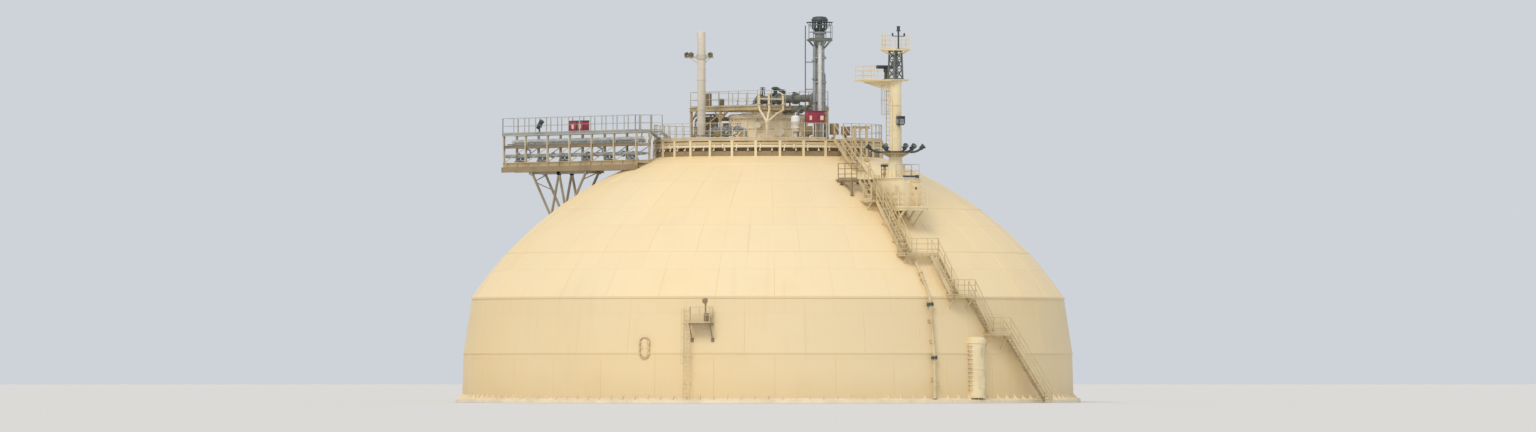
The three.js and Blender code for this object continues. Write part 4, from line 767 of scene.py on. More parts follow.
seamValues = {"heights": (0.35, 3.5, 7.36, 10.45, 13.5, 16.62), "plates": 32, "bead": 0.02,
              # profiles as offsets in radius and height
              "band": ((-0.02, -0.035), (0.028, -0.02), (0.022, 0.025), (-0.04, 0.03)),
              "laps": ((3.5, 0.045, 0.10), (7.36, 0.07, 0.14))}


def makeSeams():
    # raised weld beads along the plates' edges, and the lapped bands at the two colour seams
    v = seamValues
    beads = []
    for k, (low, high) in enumerate(zip(v["heights"], v["heights"][1:])):
        steps = 1 if k < 2 else 8
        line = [(domeRadius(z), 0, z) for z in [low + (high - low) * i / steps for i in range(steps + 1)]]
        start = 0.0 if k % 2 == 0 else 180 / v["plates"]
        beads.append(roundRow(struts([line], v["bead"], 6), v["plates"], start))
    bands, laps = Shape(), Shape()
    for z in v["heights"][3:]:
        bands.turned([[domeRadius(z) + dr, z + dz] for dr, dz in v["band"]], cover["sides"])
    for z, proud, tall in v["laps"]:
        r = domeRadius(z)
        outline = [[r - 0.1, z - tall], [r + proud, z - tall], [r + proud, z - 0.01], [r - 0.1, z + 0.03]]
        laps.turned(outline, cover["sides"])
    draw("plate_seams", "coverHigh", "cover_high", beads[2:] + [bands])
    draw("band_laps", "coverLow", "cover_low", beads[:2] + [laps])


footValues = {"top": 0.3494, "gussets": 144, "bolts": 192, "boltStart": 0.94,
              "boltInset": 0.13, "bolt": 0.055}


def makeFoot():
    v = footValues
    rim, wall, inner, top = cover["footRadius"], cover["wallRadius"], cover["footInner"], v["top"]
    flange = Shape().turned([[inner, 0], [rim, 0], [rim, 0.21], [rim - 0.15, 0.24], [rim - 0.3, 0.25],
                             [wall + 0.03, 0.26], [wall + 0.02, top], [inner, top]], cover["sides"])
    gusset = Shape()
    gusset.plate([(wall - 0.02, 0.2), (rim - 0.2, 0.2), (rim - 0.2, 0.28), (wall - 0.02, 0.62)], 0.03)
    bolt = Shape().pin(v["bolt"], 0.18, 0.31, 6, rim - v["boltInset"])
    draw("foot_flange", "palePanel", "cover_low",
         [flange, roundRow(gusset, v["gussets"]), roundRow(bolt, v["bolts"], v["boltStart"])], "base_ring")


def stadium(width, height, x, rise, steps=8):
    # points round an upright slot shape at x, standing on rise
    r, points = width / 2, []
    for centre, first in ((rise + height - r, 0.0), (rise + r, math.pi)):
        for i in range(steps + 1):
            a = first + math.pi * i / steps
            points.append((x, r * math.cos(a), centre + r * math.sin(a)))
    return points


hatchValues = {"azimuth": -58.3, "bottom": 3.05, "width": 0.75, "height": 1.5, "proud": 0.14, "rim": 0.09,
               "sunk": 0.08, "hinges": (0.25, 0.5, 0.75)}


def makeHatch():
    # oval access door: coaming, dished leaf, hinges and clamps
    v = hatchValues
    w, h, low, rim = v["width"], v["height"], v["bottom"], v["rim"]
    r, front = cover["lowRadius"] - v["sunk"], cover["lowRadius"] + v["proud"]

    def slot(inset, x):
        return stadium(w - 2 * inset * rim, h - 2 * inset * rim, x, low + inset * rim)

    loops = [slot(0, r), slot(0, front), slot(1, front), slot(1, r)]
    coaming = Shape(turn=v["azimuth"]).rings([list(ring) for ring in zip(*loops)], loop=True)
    draw("oval_hatch_rim", "steelTan", "cover_low", [coaming])
    s = Shape(turn=v["azimuth"]).rings([slot(1.1, r), slot(1.1, front - 0.07), slot(2.2, front - 0.035)])
    edge = w / 2
    for z in [low + h * share for share in v["hinges"]]:
        s.pin(0.035, z - 0.09, z + 0.09, 8, front - 0.02, edge - 0.02)
        s.bar((front - 0.02, edge - 0.03, z), (front - 0.02, 0.08, z), 0.03, 0.05)
        s.bar((front - 0.01, 0.02 - edge, z), (front - 0.01, 0.2 - edge, z), 0.04, 0.07)
        s.rod((front - 0.05, 0.1 - edge, z), (front + 0.04, 0.1 - edge, z), 0.028, 6)
    s.tube([(front + out, -0.12, low + z) for out, z in ((-0.05, 0.62), (0.05, 0.66),
                                                         (0.05, 0.86), (-0.05, 0.9))],
           0.018, 6)
    draw("oval_hatch", "coverLow", "cover_low", [s], "oval_door")


for name, values in courses.items():
    makeCourse(name, *values)
makeSeams()
makeFoot()
makeHatch()
print("cover ready")


# Top of the cover: turret, round platform, upper platform

deckZ, upperZ = 18.4, 20.75
turretValues = {
    "wall": ((2.5, 18.3), (2.94, 18.3), (2.94, 18.42), (2.6, 18.43), (2.6, 19.18),
             (2.67, 19.2), (2.67, 19.28),
             (2.6, 19.3), (2.6, 19.92), (2.76, 19.94), (2.76, 20.049), (2.5, 20.049)),
    "lid": ((0, 20.051), (2.8, 20.051), (2.8, 20.14), (2.0, 20.16), (1.9, 20.2), (1.86, 20.33), (0, 20.35)),
    "dome": ((0, 20.3), (0.5, 20.3), (0.5, 20.4), (0.3, 20.46), (0, 20.48)),
    # nozzles: azimuth, height, radius
    "nozzles": ((-78, 19.1, 0.17), (-48, 19.45, 0.12), (-20, 19.0, 0.2), (25, 19.3, 0.14), (70, 19.1, 0.2),
                (128, 19.4, 0.14), (165, 19.05, 0.2), (215, 19.3, 0.15), (250, 19.1, 0.12)),
    "inside": 2.5, "reach": 3.05, "rib": (0.2, 0.03, 1.5, 2.66, 0, 18.42), "ribs": 24,
    "bolts": 72, "spokes": 16,
}


def makeTurret():
    v = turretValues
    nozzles = Shape()
    for azimuth, z, r in v["nozzles"]:
        end = around(v["reach"], azimuth, z)
        nozzles.rod(around(v["inside"], azimuth, z), end, r, 16)
        nozzles.flange(end, around(1, azimuth), r * 1.7, 0.06, 8)
    # drum and lid in the pale panel paint, partly painted light: paler all over to brighten them in the upper
    # platform's shade
    draw("turret_shell", "palePanel", "steel_tan",
         [Shape().turned(v["wall"], 96), roundRow(Shape().block(*v["rib"]), v["ribs"], 7.5),
          nozzles], "turret_drum")
    bolt = Shape().pin(0.04, 20.1, 20.21, 6, 2.7)
    spoke = Shape().bar((0.5, 0, 20.26), (2.7, 0, 20.16), 0.04, 0.16)
    draw("turret_cover", "palePanel", "steel_tan",
         [Shape().turned(v["lid"], 96), Shape().turned(v["dome"], 32), roundRow(bolt, v["bolts"]),
          roundRow(spoke, v["spokes"], 4)], "turret_lid")


gearValues = {
    # cabinets: x, y, size; risers: y, radius; drains: from the ceiling line to the deck
    "ceiling": 20.26, "riserX": -5.0, "headerX": -4.55, "headerZ": 20.0, "header": (-2.8, 2.7, 0.15),
    "cabinets": ((-4.75, -1.65, (0.5, 0.9, 1.45)), (-5.05, 0.15, (0.42, 0.66, 1.15)),
                 (-4.5, -2.5, (0.42, 0.5, 0.9)),
                 (-4.9, 1.7, (0.5, 0.8, 1.3)), (-3.9, -3.3, (0.4, 0.45, 0.8))),
    "plinth": 0.15, "flanges": (-2.75, -1.3, -1.2, 0.4, 1.3, 2.65),
    "risers": ((-2.75, 0.07), (-0.92, 0.1), (-0.62, 0.08), (0.75, 0.1), (2.45, 0.08)),
    "drains": (-2.4, -2.1, 2.2),
    "drain": ((-3.6, 20.26), (-3.6, 19.2), (-3.75, 19.0), (-4.3, 19.0), (-4.6, 18.8),
                                           (-4.6, deckZ)),
}


def makeUnderGear():
    # cabinets, risers and a cross header under the upper platform's aft end
    v = gearValues
    z, x, riserX, foot = v["headerZ"], v["headerX"], v["riserX"], deckZ + v["plinth"]
    boxes = Shape()
    for boxX, boxY, (long, wide, tall) in v["cabinets"]:
        boxes.block(long, wide, tall, boxX, boxY, foot)
        boxes.block(long + 0.06, wide + 0.06, 0.04, boxX, boxY, foot + tall)
        boxes.block(long * 0.8, wide * 0.8, v["plinth"], boxX, boxY, deckZ)
        boxes.block(long * 0.75, 0.03, tall * 0.8, boxX, boxY - wide / 2 - 0.01, foot + tall * 0.1)
    draw("gear_cabinets", "legGrey", "steel_tan", [boxes], bevel=0.01)
    low, high, radius = v["header"]
    gear = Shape().rod((x, low, z), (x, high, z), radius, 16)
    gear.many("flange", [((x, y, z), (0, 1, 0), 0.25, 0.07, 8) for y in v["flanges"]])
    for y, r in v["risers"]:
        gear.tube([(riserX, y, deckZ), (riserX, y, z - 0.25), (riserX + 0.1, y, z - 0.08), (x, y, z)], r, 10)
        gear.flange((riserX, y, deckZ + 0.9), (0, 0, 1), r * 1.9, 0.06, 8)
    for y in v["drains"]:
        gear.rod((-5.1, y, v["ceiling"]), (-2.3, y, v["ceiling"]), 0.06, 10)
        gear.tube([(drainX, y, drainZ) for drainX, drainZ in v["drain"]], 0.07, 10)
        gear.wheel((-3.42, y, 19.5), (1, 0, 0), 0.16).rod((-3.6, y, 19.5), (-3.42, y, 19.5), 0.03, 8)
    draw("gear_pipes", "legGrey", "vent_grey", [gear])


ringValues = {
    "legs": 30, "start": 6.9, "slats": 300, "tieRadii": (5.1, 5.7, 6.3, 6.9, 7.5), "pipeRadius": 7.95,
    "pipeZ": 17.88, "pipe": 0.1, "nozzles": 60, "joints": 10, "railRadius": 8.0,
    "hoops": ((7.96, 8.1, 18.25, 0.15, 120), (7.9, 8.06, 17.98, 0.19, 120), (4.5, 4.58, 18.15, 0.25, 96)),
    "collar": ((7.78, 17.12), (7.98, 17.07), (8.0, 17.52), (7.9, 17.55), (7.78, 17.52)),
    # a dark sheet behind the legs: painted shade in the gap under the ring deck
    "shadeSkirt": (7.58, 7.62, 17.3, 0.8, 120),
    "slat": (3.42, 0.02, 0.045, 6.27, 0, 18.35),
    "beam": ((4.55, 0, 18.23), (7.98, 0, 18.23), 0.12, 0.22, 0.02),
    "leg": ((0.1, 0.17, 1.14, 8.06, 0, 17.11), (0.16, 0.24, 0.06, 8.04, 0, 18.2),
            (0.24, 0.3, 0.05, 7.98, 0, 17.13)),
    "pillar": ((0.16, 0.16, 1.0, 7.72, 0, 17.25), (0.3, 0.3, 0.06, 7.72, 0, 17.25),
               (0.12, 0.12, 0.7, 4.62, 0, 17.95)),
    "braces": (((4.7, 0, 18.1), (5.9, 0, 18.2), 0.08), ((7.7, 0, 17.35), (6.5, 0, 18.18), 0.08)),
    # the handrail is open where the walkway and the stair arrive
    "railArcs": ((5.9, 247.4), (258.2, 355.7)), "rail": (9, 1.1, 2, 0.032, 0.017, 0.1),
}


def makeRing():
    v = ringValues
    legs, start = v["legs"], v["start"]
    # the collar's darker brown is partly painted shade under the deck edge; the dark skirt sheet is painted
    # shade behind the legs
    collar = Shape().turned(v["collar"], 120).hoop(*v["shadeSkirt"])
    draw("ring_collar", "chordBrown", "steel_tan", [collar])
    rims = Shape().many("hoop", v["hoops"])
    rims.many("hoop", [(r, r + 0.02, deckZ - 0.045, 0.04, 96) for r in v["tieRadii"]])
    beam = Shape().channel(*v["beam"])
    pillar = Shape().many("block", v["pillar"]).many("bar", v["braces"])
    draw("ring_deck", "steelTan", "steel_tan",
         [rims, roundRow(Shape().block(*v["slat"]), v["slats"]), roundRow(beam, legs, start),
          roundRow(pillar, legs, start)], "ring_platform")
    draw("ring_legs", "mastCream", "steel_tan", [roundRow(Shape().many("block", v["leg"]), legs, start)])

    r, z = v["pipeRadius"], v["pipeZ"]
    pipe = Shape().ringPipe(r, z, v["pipe"], 12, 144)
    nozzle = Shape().rod((r + 0.04, 0, z - 0.05), (r + 0.12, 0, z - 0.26), 0.025, 8)
    nozzle.rod((r + 0.11, 0, z - 0.23), (r + 0.14, 0, z - 0.3), 0.05, 8, 0.08)
    clamp = Shape().block(0.3, 0.09, 0.26, r - 0.04, 0, z - 0.13)
    joint = Shape().rod((r, -0.06, z), (r, 0.06, z), 0.17, 16)
    draw("ring_spray_main", "palePanel", "steel_tan",
         [pipe, roundRow(nozzle, v["nozzles"], 3), roundRow(clamp, legs, start + 2.4),
          roundRow(joint, v["joints"], 14)], "ring_main")
    arcs = []
    for first, last in v["railArcs"]:
        count = round((last - first) / 6)
        arcs.append([around(v["railRadius"], first + (last - first) * i / count, deckZ)
                     for i in range(count + 1)])
    draw("ring_handrail", "railTan", "steel_tan", [rails(arcs, *v["rail"])],
         "ring_railing_port", "ring_railing_starboard")


upperValues = {
    "aft": -5.3, "fore": 3.1, "half": 3.1, "girders": (-3.04, -1.0, 1.0, 3.04),
    "beams": (-5.24, -3.2, -1.1, 1.0, 3.04),
    # posts: x, y, foot
    "posts": ((-5.18, -2.98, 18.4), (-5.18, 2.98, 18.4), (-1.6, -2.98, 18.0), (-1.6, 2.98, 18.0),
              (2.98, 2.98, 18.1)),
    "knee": 0.7, "slats": 76, "slatStep": 0.109, "ties": 10, "tieStep": 0.62,
    "rail": (1.15, 1.1, 2, 0.034, 0.017, 0.1),
}


def makeUpper():
    v = upperValues
    aft, fore, half, top = v["aft"], v["fore"], v["half"], upperZ
    s = Shape()
    s.many("channel", [((aft, y, top - 0.13), (fore, y, top - 0.13), 0.12, 0.25, 0.02) for y in v["girders"]])
    s.many("channel", [((x, 0.1 - half, top - 0.14), (x, half - 0.1, top - 0.14), 0.1, 0.22, 0.02)
                       for x in v["beams"]])
    for x, y, foot in v["posts"]:
        s.block(0.15, 0.15, top - 0.25 - foot, x, y, foot).block(0.3, 0.3, 0.05, x, y, max(foot, deckZ))
        knees = [(x - v["knee"], y), (x + v["knee"], y), (x, y - math.copysign(v["knee"], y))]
        s.many("bar", [((x, y, top - 0.95), (*knee, top - 0.25), 0.07)
                       for knee in knees if aft < knee[0] < fore])
    (postX, postY, _), middle = v["posts"][0], v["posts"][2][0]
    for start, end in (((postX, postY), (middle, postY)), ((postX, -postY), (middle, -postY)),
                       ((postX, postY), (postX, -postY))):
        s.bar((*start, 18.7), (*end, 20.3), 0.06)
    slat = Shape().block(0.022, 2 * half - 0.12, 0.05, aft + 0.1, 0, top - 0.05)
    tie = Shape().block(fore - aft - 0.12, 0.015, 0.02, (fore + aft) / 2, 0.3 - half, top - 0.03)
    draw("upper_deck", "steelTan", "steel_tan",
         [s, lineRow(slat, v["slats"], (v["slatStep"], 0, 0)), lineRow(tie, v["ties"], (0, v["tieStep"], 0))],
         "upper_platform")
    left, right, side = aft + 0.08, fore - 0.08, half - 0.08
    line = [(x, y, top) for x, y in ((right, -0.6), (right, -side), (left, -side),
                                     (left, side), (right, side), (right, 0.6))]
    draw("upper_handrail", "railTan", "steel_tan", [rails([line], *v["rail"])], "upper_railing")


treeValues = {"x": 4.06, "y": -2.92, "fork": 19.6, "armX": 3.26, "arms": (-3.05, -2.2, -1.0), "arm": 0.085}


def makeTree():
    # post with three arms that carry the platform's forward corner
    v = treeValues
    x, y, fork, armX = v["x"], v["y"], v["fork"], v["armX"]
    s = Shape().pin(0.13, deckZ, fork + 0.05, 16, x, y).pin(0.26, deckZ, 18.47, 16, x, y)
    s.pin(0.16, fork - 0.1, fork + 0.12, 16, x, y)
    for armY in v["arms"]:
        s.tube([(x, y, fork - 0.02), mixed((x, y, fork), (armX, armY, 20.6), 0.5), (armX + 0.06, armY, 20.5),
                (armX, armY, 20.75), (armX, armY, 21.6)], v["arm"], 12)
        s.pin(0.13, 21.55, 21.62, 12, armX, armY).flange((armX, armY, 20.9), (0, 0, 1), 0.15, 0.03, 6)
    s.bar((armX, v["arms"][0], 21.25), (armX, v["arms"][-1], 21.25), 0.09)
    draw("tree_post_arms", "mastCream", "mast_cream", [s], "tree_post")


portalValues = {"x": 8.6, "y": 1.9, "half": 0.5, "top": 19.3, "post": 0.1, "hook": (18.99, 0.08, 0.022)}


def makePortal():
    # two posts and a bar with a lifting hook
    v = portalValues
    foot = domeHeight(8.9)
    s = Shape(place=(v["x"], v["y"], 0))
    for y in (-v["half"], v["half"]):
        s.pin(v["post"], domeHeight(8.8) - 0.06, v["top"], 12, 0, y).pin(0.2, foot, foot + 0.14, 12, 0, y)
        s.pin(0.13, 19.28, 19.34, 12, 0, y)
    s.channel((0, -0.75, 19.2), (0, 0.75, 19.2), 0.13, 0.16, 0.02).pin(0.05, 19.05, 19.2, 8, 0, 0.02)
    z, r, thick = v["hook"]
    turns = [0.4 + 5.4 * i / 9 for i in range(10)]
    s.tube([(0, 0.02 + r * math.sin(a), z + r * math.cos(a)) for a in turns], thick, 6)
    draw("portal_posts", "steelTan", "steel_tan", [s], "portal_frame")


boxValues = {
    "box": (7.1, -0.95, 0), "drum": (6.35, -2.1, 0), "legHalf": (0.37, 0.42),
    "cabinet": ((0.9, 1.0, 0.82, 0, 0, 19.5), (0.98, 1.08, 0.05, 0, 0, 20.32),
                (0.02, 0.44, 0.7, 0.455, -0.24, 19.56),
                (0.02, 0.44, 0.7, 0.455, 0.24, 19.56), (0.4, 0.02, 0.7, -0.21, -0.505, 19.56),
                (0.4, 0.02, 0.7, 0.21, -0.505, 19.56), (0.03, 0.02, 0.12, 0.475, -0.06, 19.85),
                (0.03, 0.02, 0.12, 0.475, 0.06, 19.85)),
    "panels": ((0.012, 0.26, 0.3, 0.475, 0.24, 19.72), (0.26, 0.012, 0.3, 0.21, -0.521, 19.72)),
    "drumWall": ((0, 19.3), (0.3, 19.3), (0.32, 19.33), (0.32, 19.6), (0.335, 19.62),
                 (0.32, 19.64), (0.32, 19.92), (0.26, 19.99), (0.1, 20.05), (0, 20.06)),
    "stand": ((0, 18.9), (0.3, 18.9), (0.32, 18.93), (0.32, 19.15), (0.335, 19.17),
              (0.32, 19.19), (0.32, 19.3), (0, 19.3)),
}


def makeDeckBoxes():
    # hose cabinet on legs and a white drum on its stand
    v = boxValues
    cabinet = Shape(place=v["box"]).many("block", v["cabinet"])
    draw("hose_cabinet", "boxRed", "box_red", [cabinet], "hose_box", bevel=0.012)
    legs = Shape(place=v["box"]).many("block", v["panels"])
    halfX, halfY = v["legHalf"]
    for y in (-halfY, halfY):
        legs.bar((-halfX, y, 18.6), (halfX, y, 19.3), 0.04)
        for x in (-halfX, halfX):
            legs.block(0.07, 0.07, 1.1, x, y, deckZ).block(0.16, 0.16, 0.03, x, y, deckZ)
    draw("hose_cabinet_legs", "palePanel", "steel_tan", [legs])
    drum = Shape(place=v["drum"]).turned(v["drumWall"], 40).pin(0.05, 20.0, 20.12)
    draw("white_float_drum", "drumWhite", "drum_white", [drum], "white_drum")
    stand = Shape(place=v["drum"]).pin(0.16, deckZ, 18.92, 16).pin(0.26, deckZ, 18.45, 16)
    stand.turned(v["stand"], 40)
    draw("drum_stand", "palePanel", "steel_tan", [stand])


for make in (makeTurret, makeUnderGear, makeRing, makeUpper, makeTree, makePortal, makeDeckBoxes):
    make()
print("platforms ready")


# Vent mast, header and valves

ventValues = {
    "x": 6.3, "trunk": 0.34, "side": 0.12, "top": 25.9, "headRadius": 0.56, "guard": 0.95, "guardZ": 26.58,
    "deckZ": 25.4, "deckRadius": 0.9, "ladderAzimuth": -125, "ladderOff": 1.0, "headerZ": 21.3,
    "headerRadius": 0.25, "flanges": ((19.3, 0.5), (20.2, 0.5), (22.4, 0.48), (24.1, 0.48), (25.85, 0.48)),
    "sideFlanges": (19.6, 21.0, 22.6, 23.9), "saddles": (18.9, 20.6, 21.7, 23.1, 24.5),
    "ties": (19.8, 21.9, 23.8),
    # the pale pipe's turn puts it on the trunk's camera side; its pale paint is a painted highlight down the
    # trunk
    "highlightTurn": -33, "drain": ((0.44, 18.46), (0.44, 24.9), (0.38, 25.1), (0.1, 25.15)),
    "rail": (9, 1.0, 2, 0.02, 0.014, 0.06),
    "cup": ((0, 25.91), (0.34, 25.91), (0.36, 25.98), (0.56, 26.15), (0.56, 26.2), (0.3, 26.2), (0, 26.2)),
    "cap": ((0, 26.66), (0.4, 26.66), (0.56, 26.66), (0.58, 26.7), (0.58, 26.78), (0.45, 26.96), (0.2, 27.0),
            (0, 27.0)),
}


def makeVent():
    v = ventValues
    x, z, trunk = v["x"], v["headerZ"], v["trunk"]
    s = Shape(place=(x, 0, 0)).pin(trunk, deckZ, v["top"], 32).pin(0.56, deckZ, 18.46, 32)
    s.many("flange", [((0, 0, spot), (0, 0, 1), r, 0.09, 16) for spot, r in v["flanges"]])
    sideY = -(trunk + v["side"] - 0.02)
    s.tube([(0, sideY, deckZ), (0, sideY, 24.6), (0, sideY + 0.03, 24.95), (0, sideY + 0.2, 25.2),
            (0, -0.1, 25.25)],
           v["side"], 16)
    for spot in v["sideFlanges"]:
        s.flange((0, sideY, spot), (0, 0, 1), 0.2, 0.05, 8)
        s.hoop(trunk + 0.005, trunk + 0.03, spot + 0.3, 0.07, 32)
    s.tube([(0, 0.44, deckZ), (0, 0.44, 22.9), (0, 0.3, 23.2)], 0.06, 12)
    s.rod((-0.62, 0, z), (0, 0, z), v["headerRadius"], 24).flange((-0.56, 0, z), (1, 0, 0), 0.4, 0.1, 12)
    s.hoop(trunk - 0.02, trunk + 0.06, z - 0.3, 0.6, 32)
    # pale pipe in front of the trunk: a painted highlight down the trunk's middle
    drain = Shape(place=(x, 0, 0), turn=v["highlightTurn"])
    drain.tube([(out, 0, up) for out, up in v["drain"]], 0.13, 16)
    drain.many("block", [(0.28, 0.32, 0.06, trunk + 0.09, 0, spot) for spot in v["saddles"]])
    draw("vent_highlight_pipe", "galvanised", "vent_grey", [drain])
    fin = Shape().plate([(trunk - 0.02, 18.44), (0.54, 18.44), (0.54, 18.5), (trunk - 0.02, 18.95)], 0.03)
    draw("vent_mast_pipes", "pipeGrey", "vent_grey", [s, roundRow(fin, 12, 15, x)], "vent_mast")

    r, guard, guardZ = v["headRadius"], v["guard"], v["guardZ"]
    h = Shape(place=(x, 0, 0)).turned(v["cup"], 32).turned(v["cap"], 32).pin(0.07, 26.1, 26.7)
    h.hoop(r - 0.06, r - 0.01, 26.4, 0.05, 32).ringPipe(guard - 0.035, guardZ, 0.03, 8, 48)
    spoke = Shape().rod((0.5, 0, guardZ), (guard - 0.03, 0, guardZ), 0.022, 8)
    spoke.rod((guard - 0.04, 0, guardZ), (0.6, 0, 26.2), 0.018, 6)
    slat = Shape().block(0.03, 0.07, 0.48, r - 0.045, 0, 26.19)
    draw("vent_mast_head", "darkSteel", "vent_grey",
         [h, roundRow(slat, 14, x=x), roundRow(spoke, 8, x=x)], "vent_head")

    z, r, azimuth, off = v["deckZ"], v["deckRadius"], v["ladderAzimuth"], v["ladderOff"]
    deck = Shape(place=(x, 0, 0)).hoop(r - 0.04, r, z - 0.12, 0.12, 48)
    deck.hoop(trunk + 0.005, trunk + 0.08, z - 0.12, 0.12, 32).hoop(0.6, 0.62, z - 0.04, 0.04, 48)
    for level in v["ties"]:
        for s in (-1, 1):
            outer = around(off, azimuth, level) + around(0.22 * s, azimuth + 90)
            deck.bar(outer, around(0.2 * s, azimuth + 90, level), 0.05)
    slat = Shape().block(r - trunk - 0.08, 0.016, 0.04, (r + trunk) / 2, 0, z - 0.045)
    stay = Shape().bar((trunk, 0, z - 0.65), (r - 0.05, 0, z - 0.08), 0.05)
    stay.bar((trunk, 0, z - 0.06), (r, 0, z - 0.06), 0.05, 0.08)
    middle = Vector((x, 0, 0))
    ring = [middle + around(r - 0.03, azimuth + 30 + 300 * i / 10, z) for i in range(11)]
    climb = ladder(middle + around(off, azimuth, deckZ), middle + around(off, azimuth, z + 0.95), azimuth)
    draw("vent_mast_platform", "pipeDark", "vent_grey",
         [deck, roundRow(slat, 72, x=x), roundRow(stay, 8, 22, x), rails([ring], *v["rail"]), *climb],
         "vent_platform")


headerValues = {
    "aft": -1.0, "end": 5.68, "flanges": (-0.95, 0.45, 0.56, 1.35, 3.3, 3.41, 5.63), "stands": (-0.4, 2.4),
    "straps": (-0.4, 2.4, 4.4), "drop": ((-0.55, 0, 0), (-0.55, -0.5, 0), (-0.6, -0.75, -0.1),
                                         (-0.6, -0.8, -0.5)),
    "bypass": ((3.9, 0), (3.9, 0.5), (4.0, 0.7), (5.6, 0.7), (5.9, 0.45), (6.05, 0.3)),
    "reliefZ": 20.53, "relief": ((2.0, 20.42), (2.5, 20.5), (2.9, 20.53), (4.5, 20.53), (6.0, 20.53)),
    "reliefFlanges": (2.9, 3.9, 4.0, 5.0, 5.1), "dropX": 4.5, "dropY": -0.62, "dropWheel": 19.5,
    "valveX": 0.9, "bonnet": ((0, 0.42), (0.2, 0.42), (0.28, 0.46), (0.28, 0.56), (0.16, 0.62), (0, 0.64)),
    # yokes: x, height, half width
    "yokes": ((-0.66, 0.5, 0.2), (1.95, 0.3, 0.12)),
    "plug": ((0, 0.12), (0.12, 0.13), (0.13, 0.2), (0, 0.24)),
}


def makeHeader():
    v = headerValues
    z, r, aft, end = ventValues["headerZ"], ventValues["headerRadius"], v["aft"], v["end"]
    s = Shape().rod((aft, 0, z), (end, 0, z), r, 32).rod((aft - 0.08, 0, z), (aft, 0, z), 0.32, 32)
    s.many("flange", [((x, 0, z), (1, 0, 0), 0.4, 0.09, 12) for x in v["flanges"]])
    for x in v["stands"]:
        s.block(0.14, 0.5, 0.04, x, 0, upperZ).block(0.12, 0.5, 0.06, x, 0, z - 0.3)
        s.many("block", [(0.1, 0.06, z - upperZ, x, y, upperZ) for y in (-0.2, 0.2)])
    s.many("rod", [((x - 0.04, 0, z), (x + 0.04, 0, z), r + 0.02, 24) for x in v["straps"]])
    s.tube([(x, y, z + up) for x, y, up in v["drop"]], 0.1, 12)
    s.flange((-0.58, -0.62, z - 0.03), (0, 1, 0.1), 0.18, 0.05, 8)
    s.tube([(x, y, z) for x, y in v["bypass"]], 0.09, 12)
    draw("vent_header_line", "pipeDark", "vent_grey", [s], "vent_header")

    # Relief line between the turret and the mast, with its valves, under the header
    x, y, wheelZ = v["dropX"], v["dropY"], v["dropWheel"]
    low = Shape().tube([(pipeX, 0, pipeZ) for pipeX, pipeZ in v["relief"]], 0.17, 20)
    low.many("flange", [((spot, 0, v["reliefZ"]), (1, 0, 0), 0.29, 0.06, 10) for spot in v["reliefFlanges"]])
    low.tube([(x, -0.05, 20.53), (x, -0.45, 20.5), (x, -0.6, 20.3), (x, y, deckZ)], 0.1, 12)
    low.flange((x, y, 19.6), (0, 0, 1), 0.19, 0.05, 8).wheel((x, -0.98, wheelZ), (0, 1, 0), 0.19)
    low.rod((x, y, wheelZ), (x, -1.0, wheelZ), 0.05, 8)
    draw("relief_line", "pipeDark", "vent_grey", [low])

    # Safety valve, and hand valves with their yokes
    valve = Shape(place=(v["valveX"], 0, z + r)).pin(0.14, -0.05, 0.5, 20)
    valve.flange((0, 0, 0.12), (0, 0, 1), 0.24, 0.06, 8).turned(v["bonnet"], 24)
    valve.rod((0.05, 0, 0.5), (0.75, 0.1, 0.3), 0.11, 16)
    valve.rod((0.72, 0.096, 0.31), (0.8, 0.107, 0.29), 0.13, 16)
    valve.rod((0.05, 0, 0.5), (-0.2, -0.04, 0.57), 0.06, 10)
    for x, tall, half in v["yokes"]:
        x -= v["valveX"]
        valve.many("bar", [((x, y, -0.02), (x, y * 0.6, tall), 0.04) for y in (-half, half)])
        valve.pin(0.045, -0.1, tall + 0.06, 10, x).block(0.08, 2 * half, 0.05, x, 0, tall - 0.02)
        valve.wheel((x, 0, tall + 0.1), (0, 0, 1), half * 0.95)
    valve.pin(0.05, -0.02, 0.14, 10, 2.3).turned(v["plug"], 16, 2.3)
    draw("header_valve_set", "darkSteel", "vent_grey", [valve], "header_valve")


deckPipeValues = {
    "y": -4.9, "z": 19.12, "valves": (0.6, 1.5, 2.4, 3.3),
    "manifold": ((-0.2, 18.45), (-0.2, 19.0), (-0.05, 19.12), (4.1, 19.12), (4.25, 19.0), (4.25, 18.45)),
    # boxes: x, y, turn, size; posts: azimuth, height
    "boxes": ((-3.9, -2.5, 0, (0.6, 0.35, 0.9)), (-4.6, -2.3, 0, (0.35, 0.5, 0.6)),
              (2.2, 2.3, 10, (0.5, 0.3, 0.8)), (-2.0, -2.6, 0, (0.35, 0.25, 0.5))),
    "posts": ((-12, 0.9), (5, 1.1), (14, 0.9), (-64, 0.6)), "postRadius": 7.2, "boxZ": 20.82, "pipeZ": 20.84,
    "trayY": (1.6, 1.75), "tray": ((-5.0, 20.84), (-1.4, 20.84), (0.6, 20.84), (2.4, 20.84),
                                   (2.7, 20.7), (2.75, 20.45)),
    "drain": ((-4.4, -1.2, 20.86), (-2.0, -1.2, 20.86), (-1.2, -0.7, 20.9), (-1.0, -0.3, 21.1)),
    "lineY": -2.2, "line": (-1.2, 0.6, 2.0), "cocks": (-0.6, 0.5, 1.5),
}


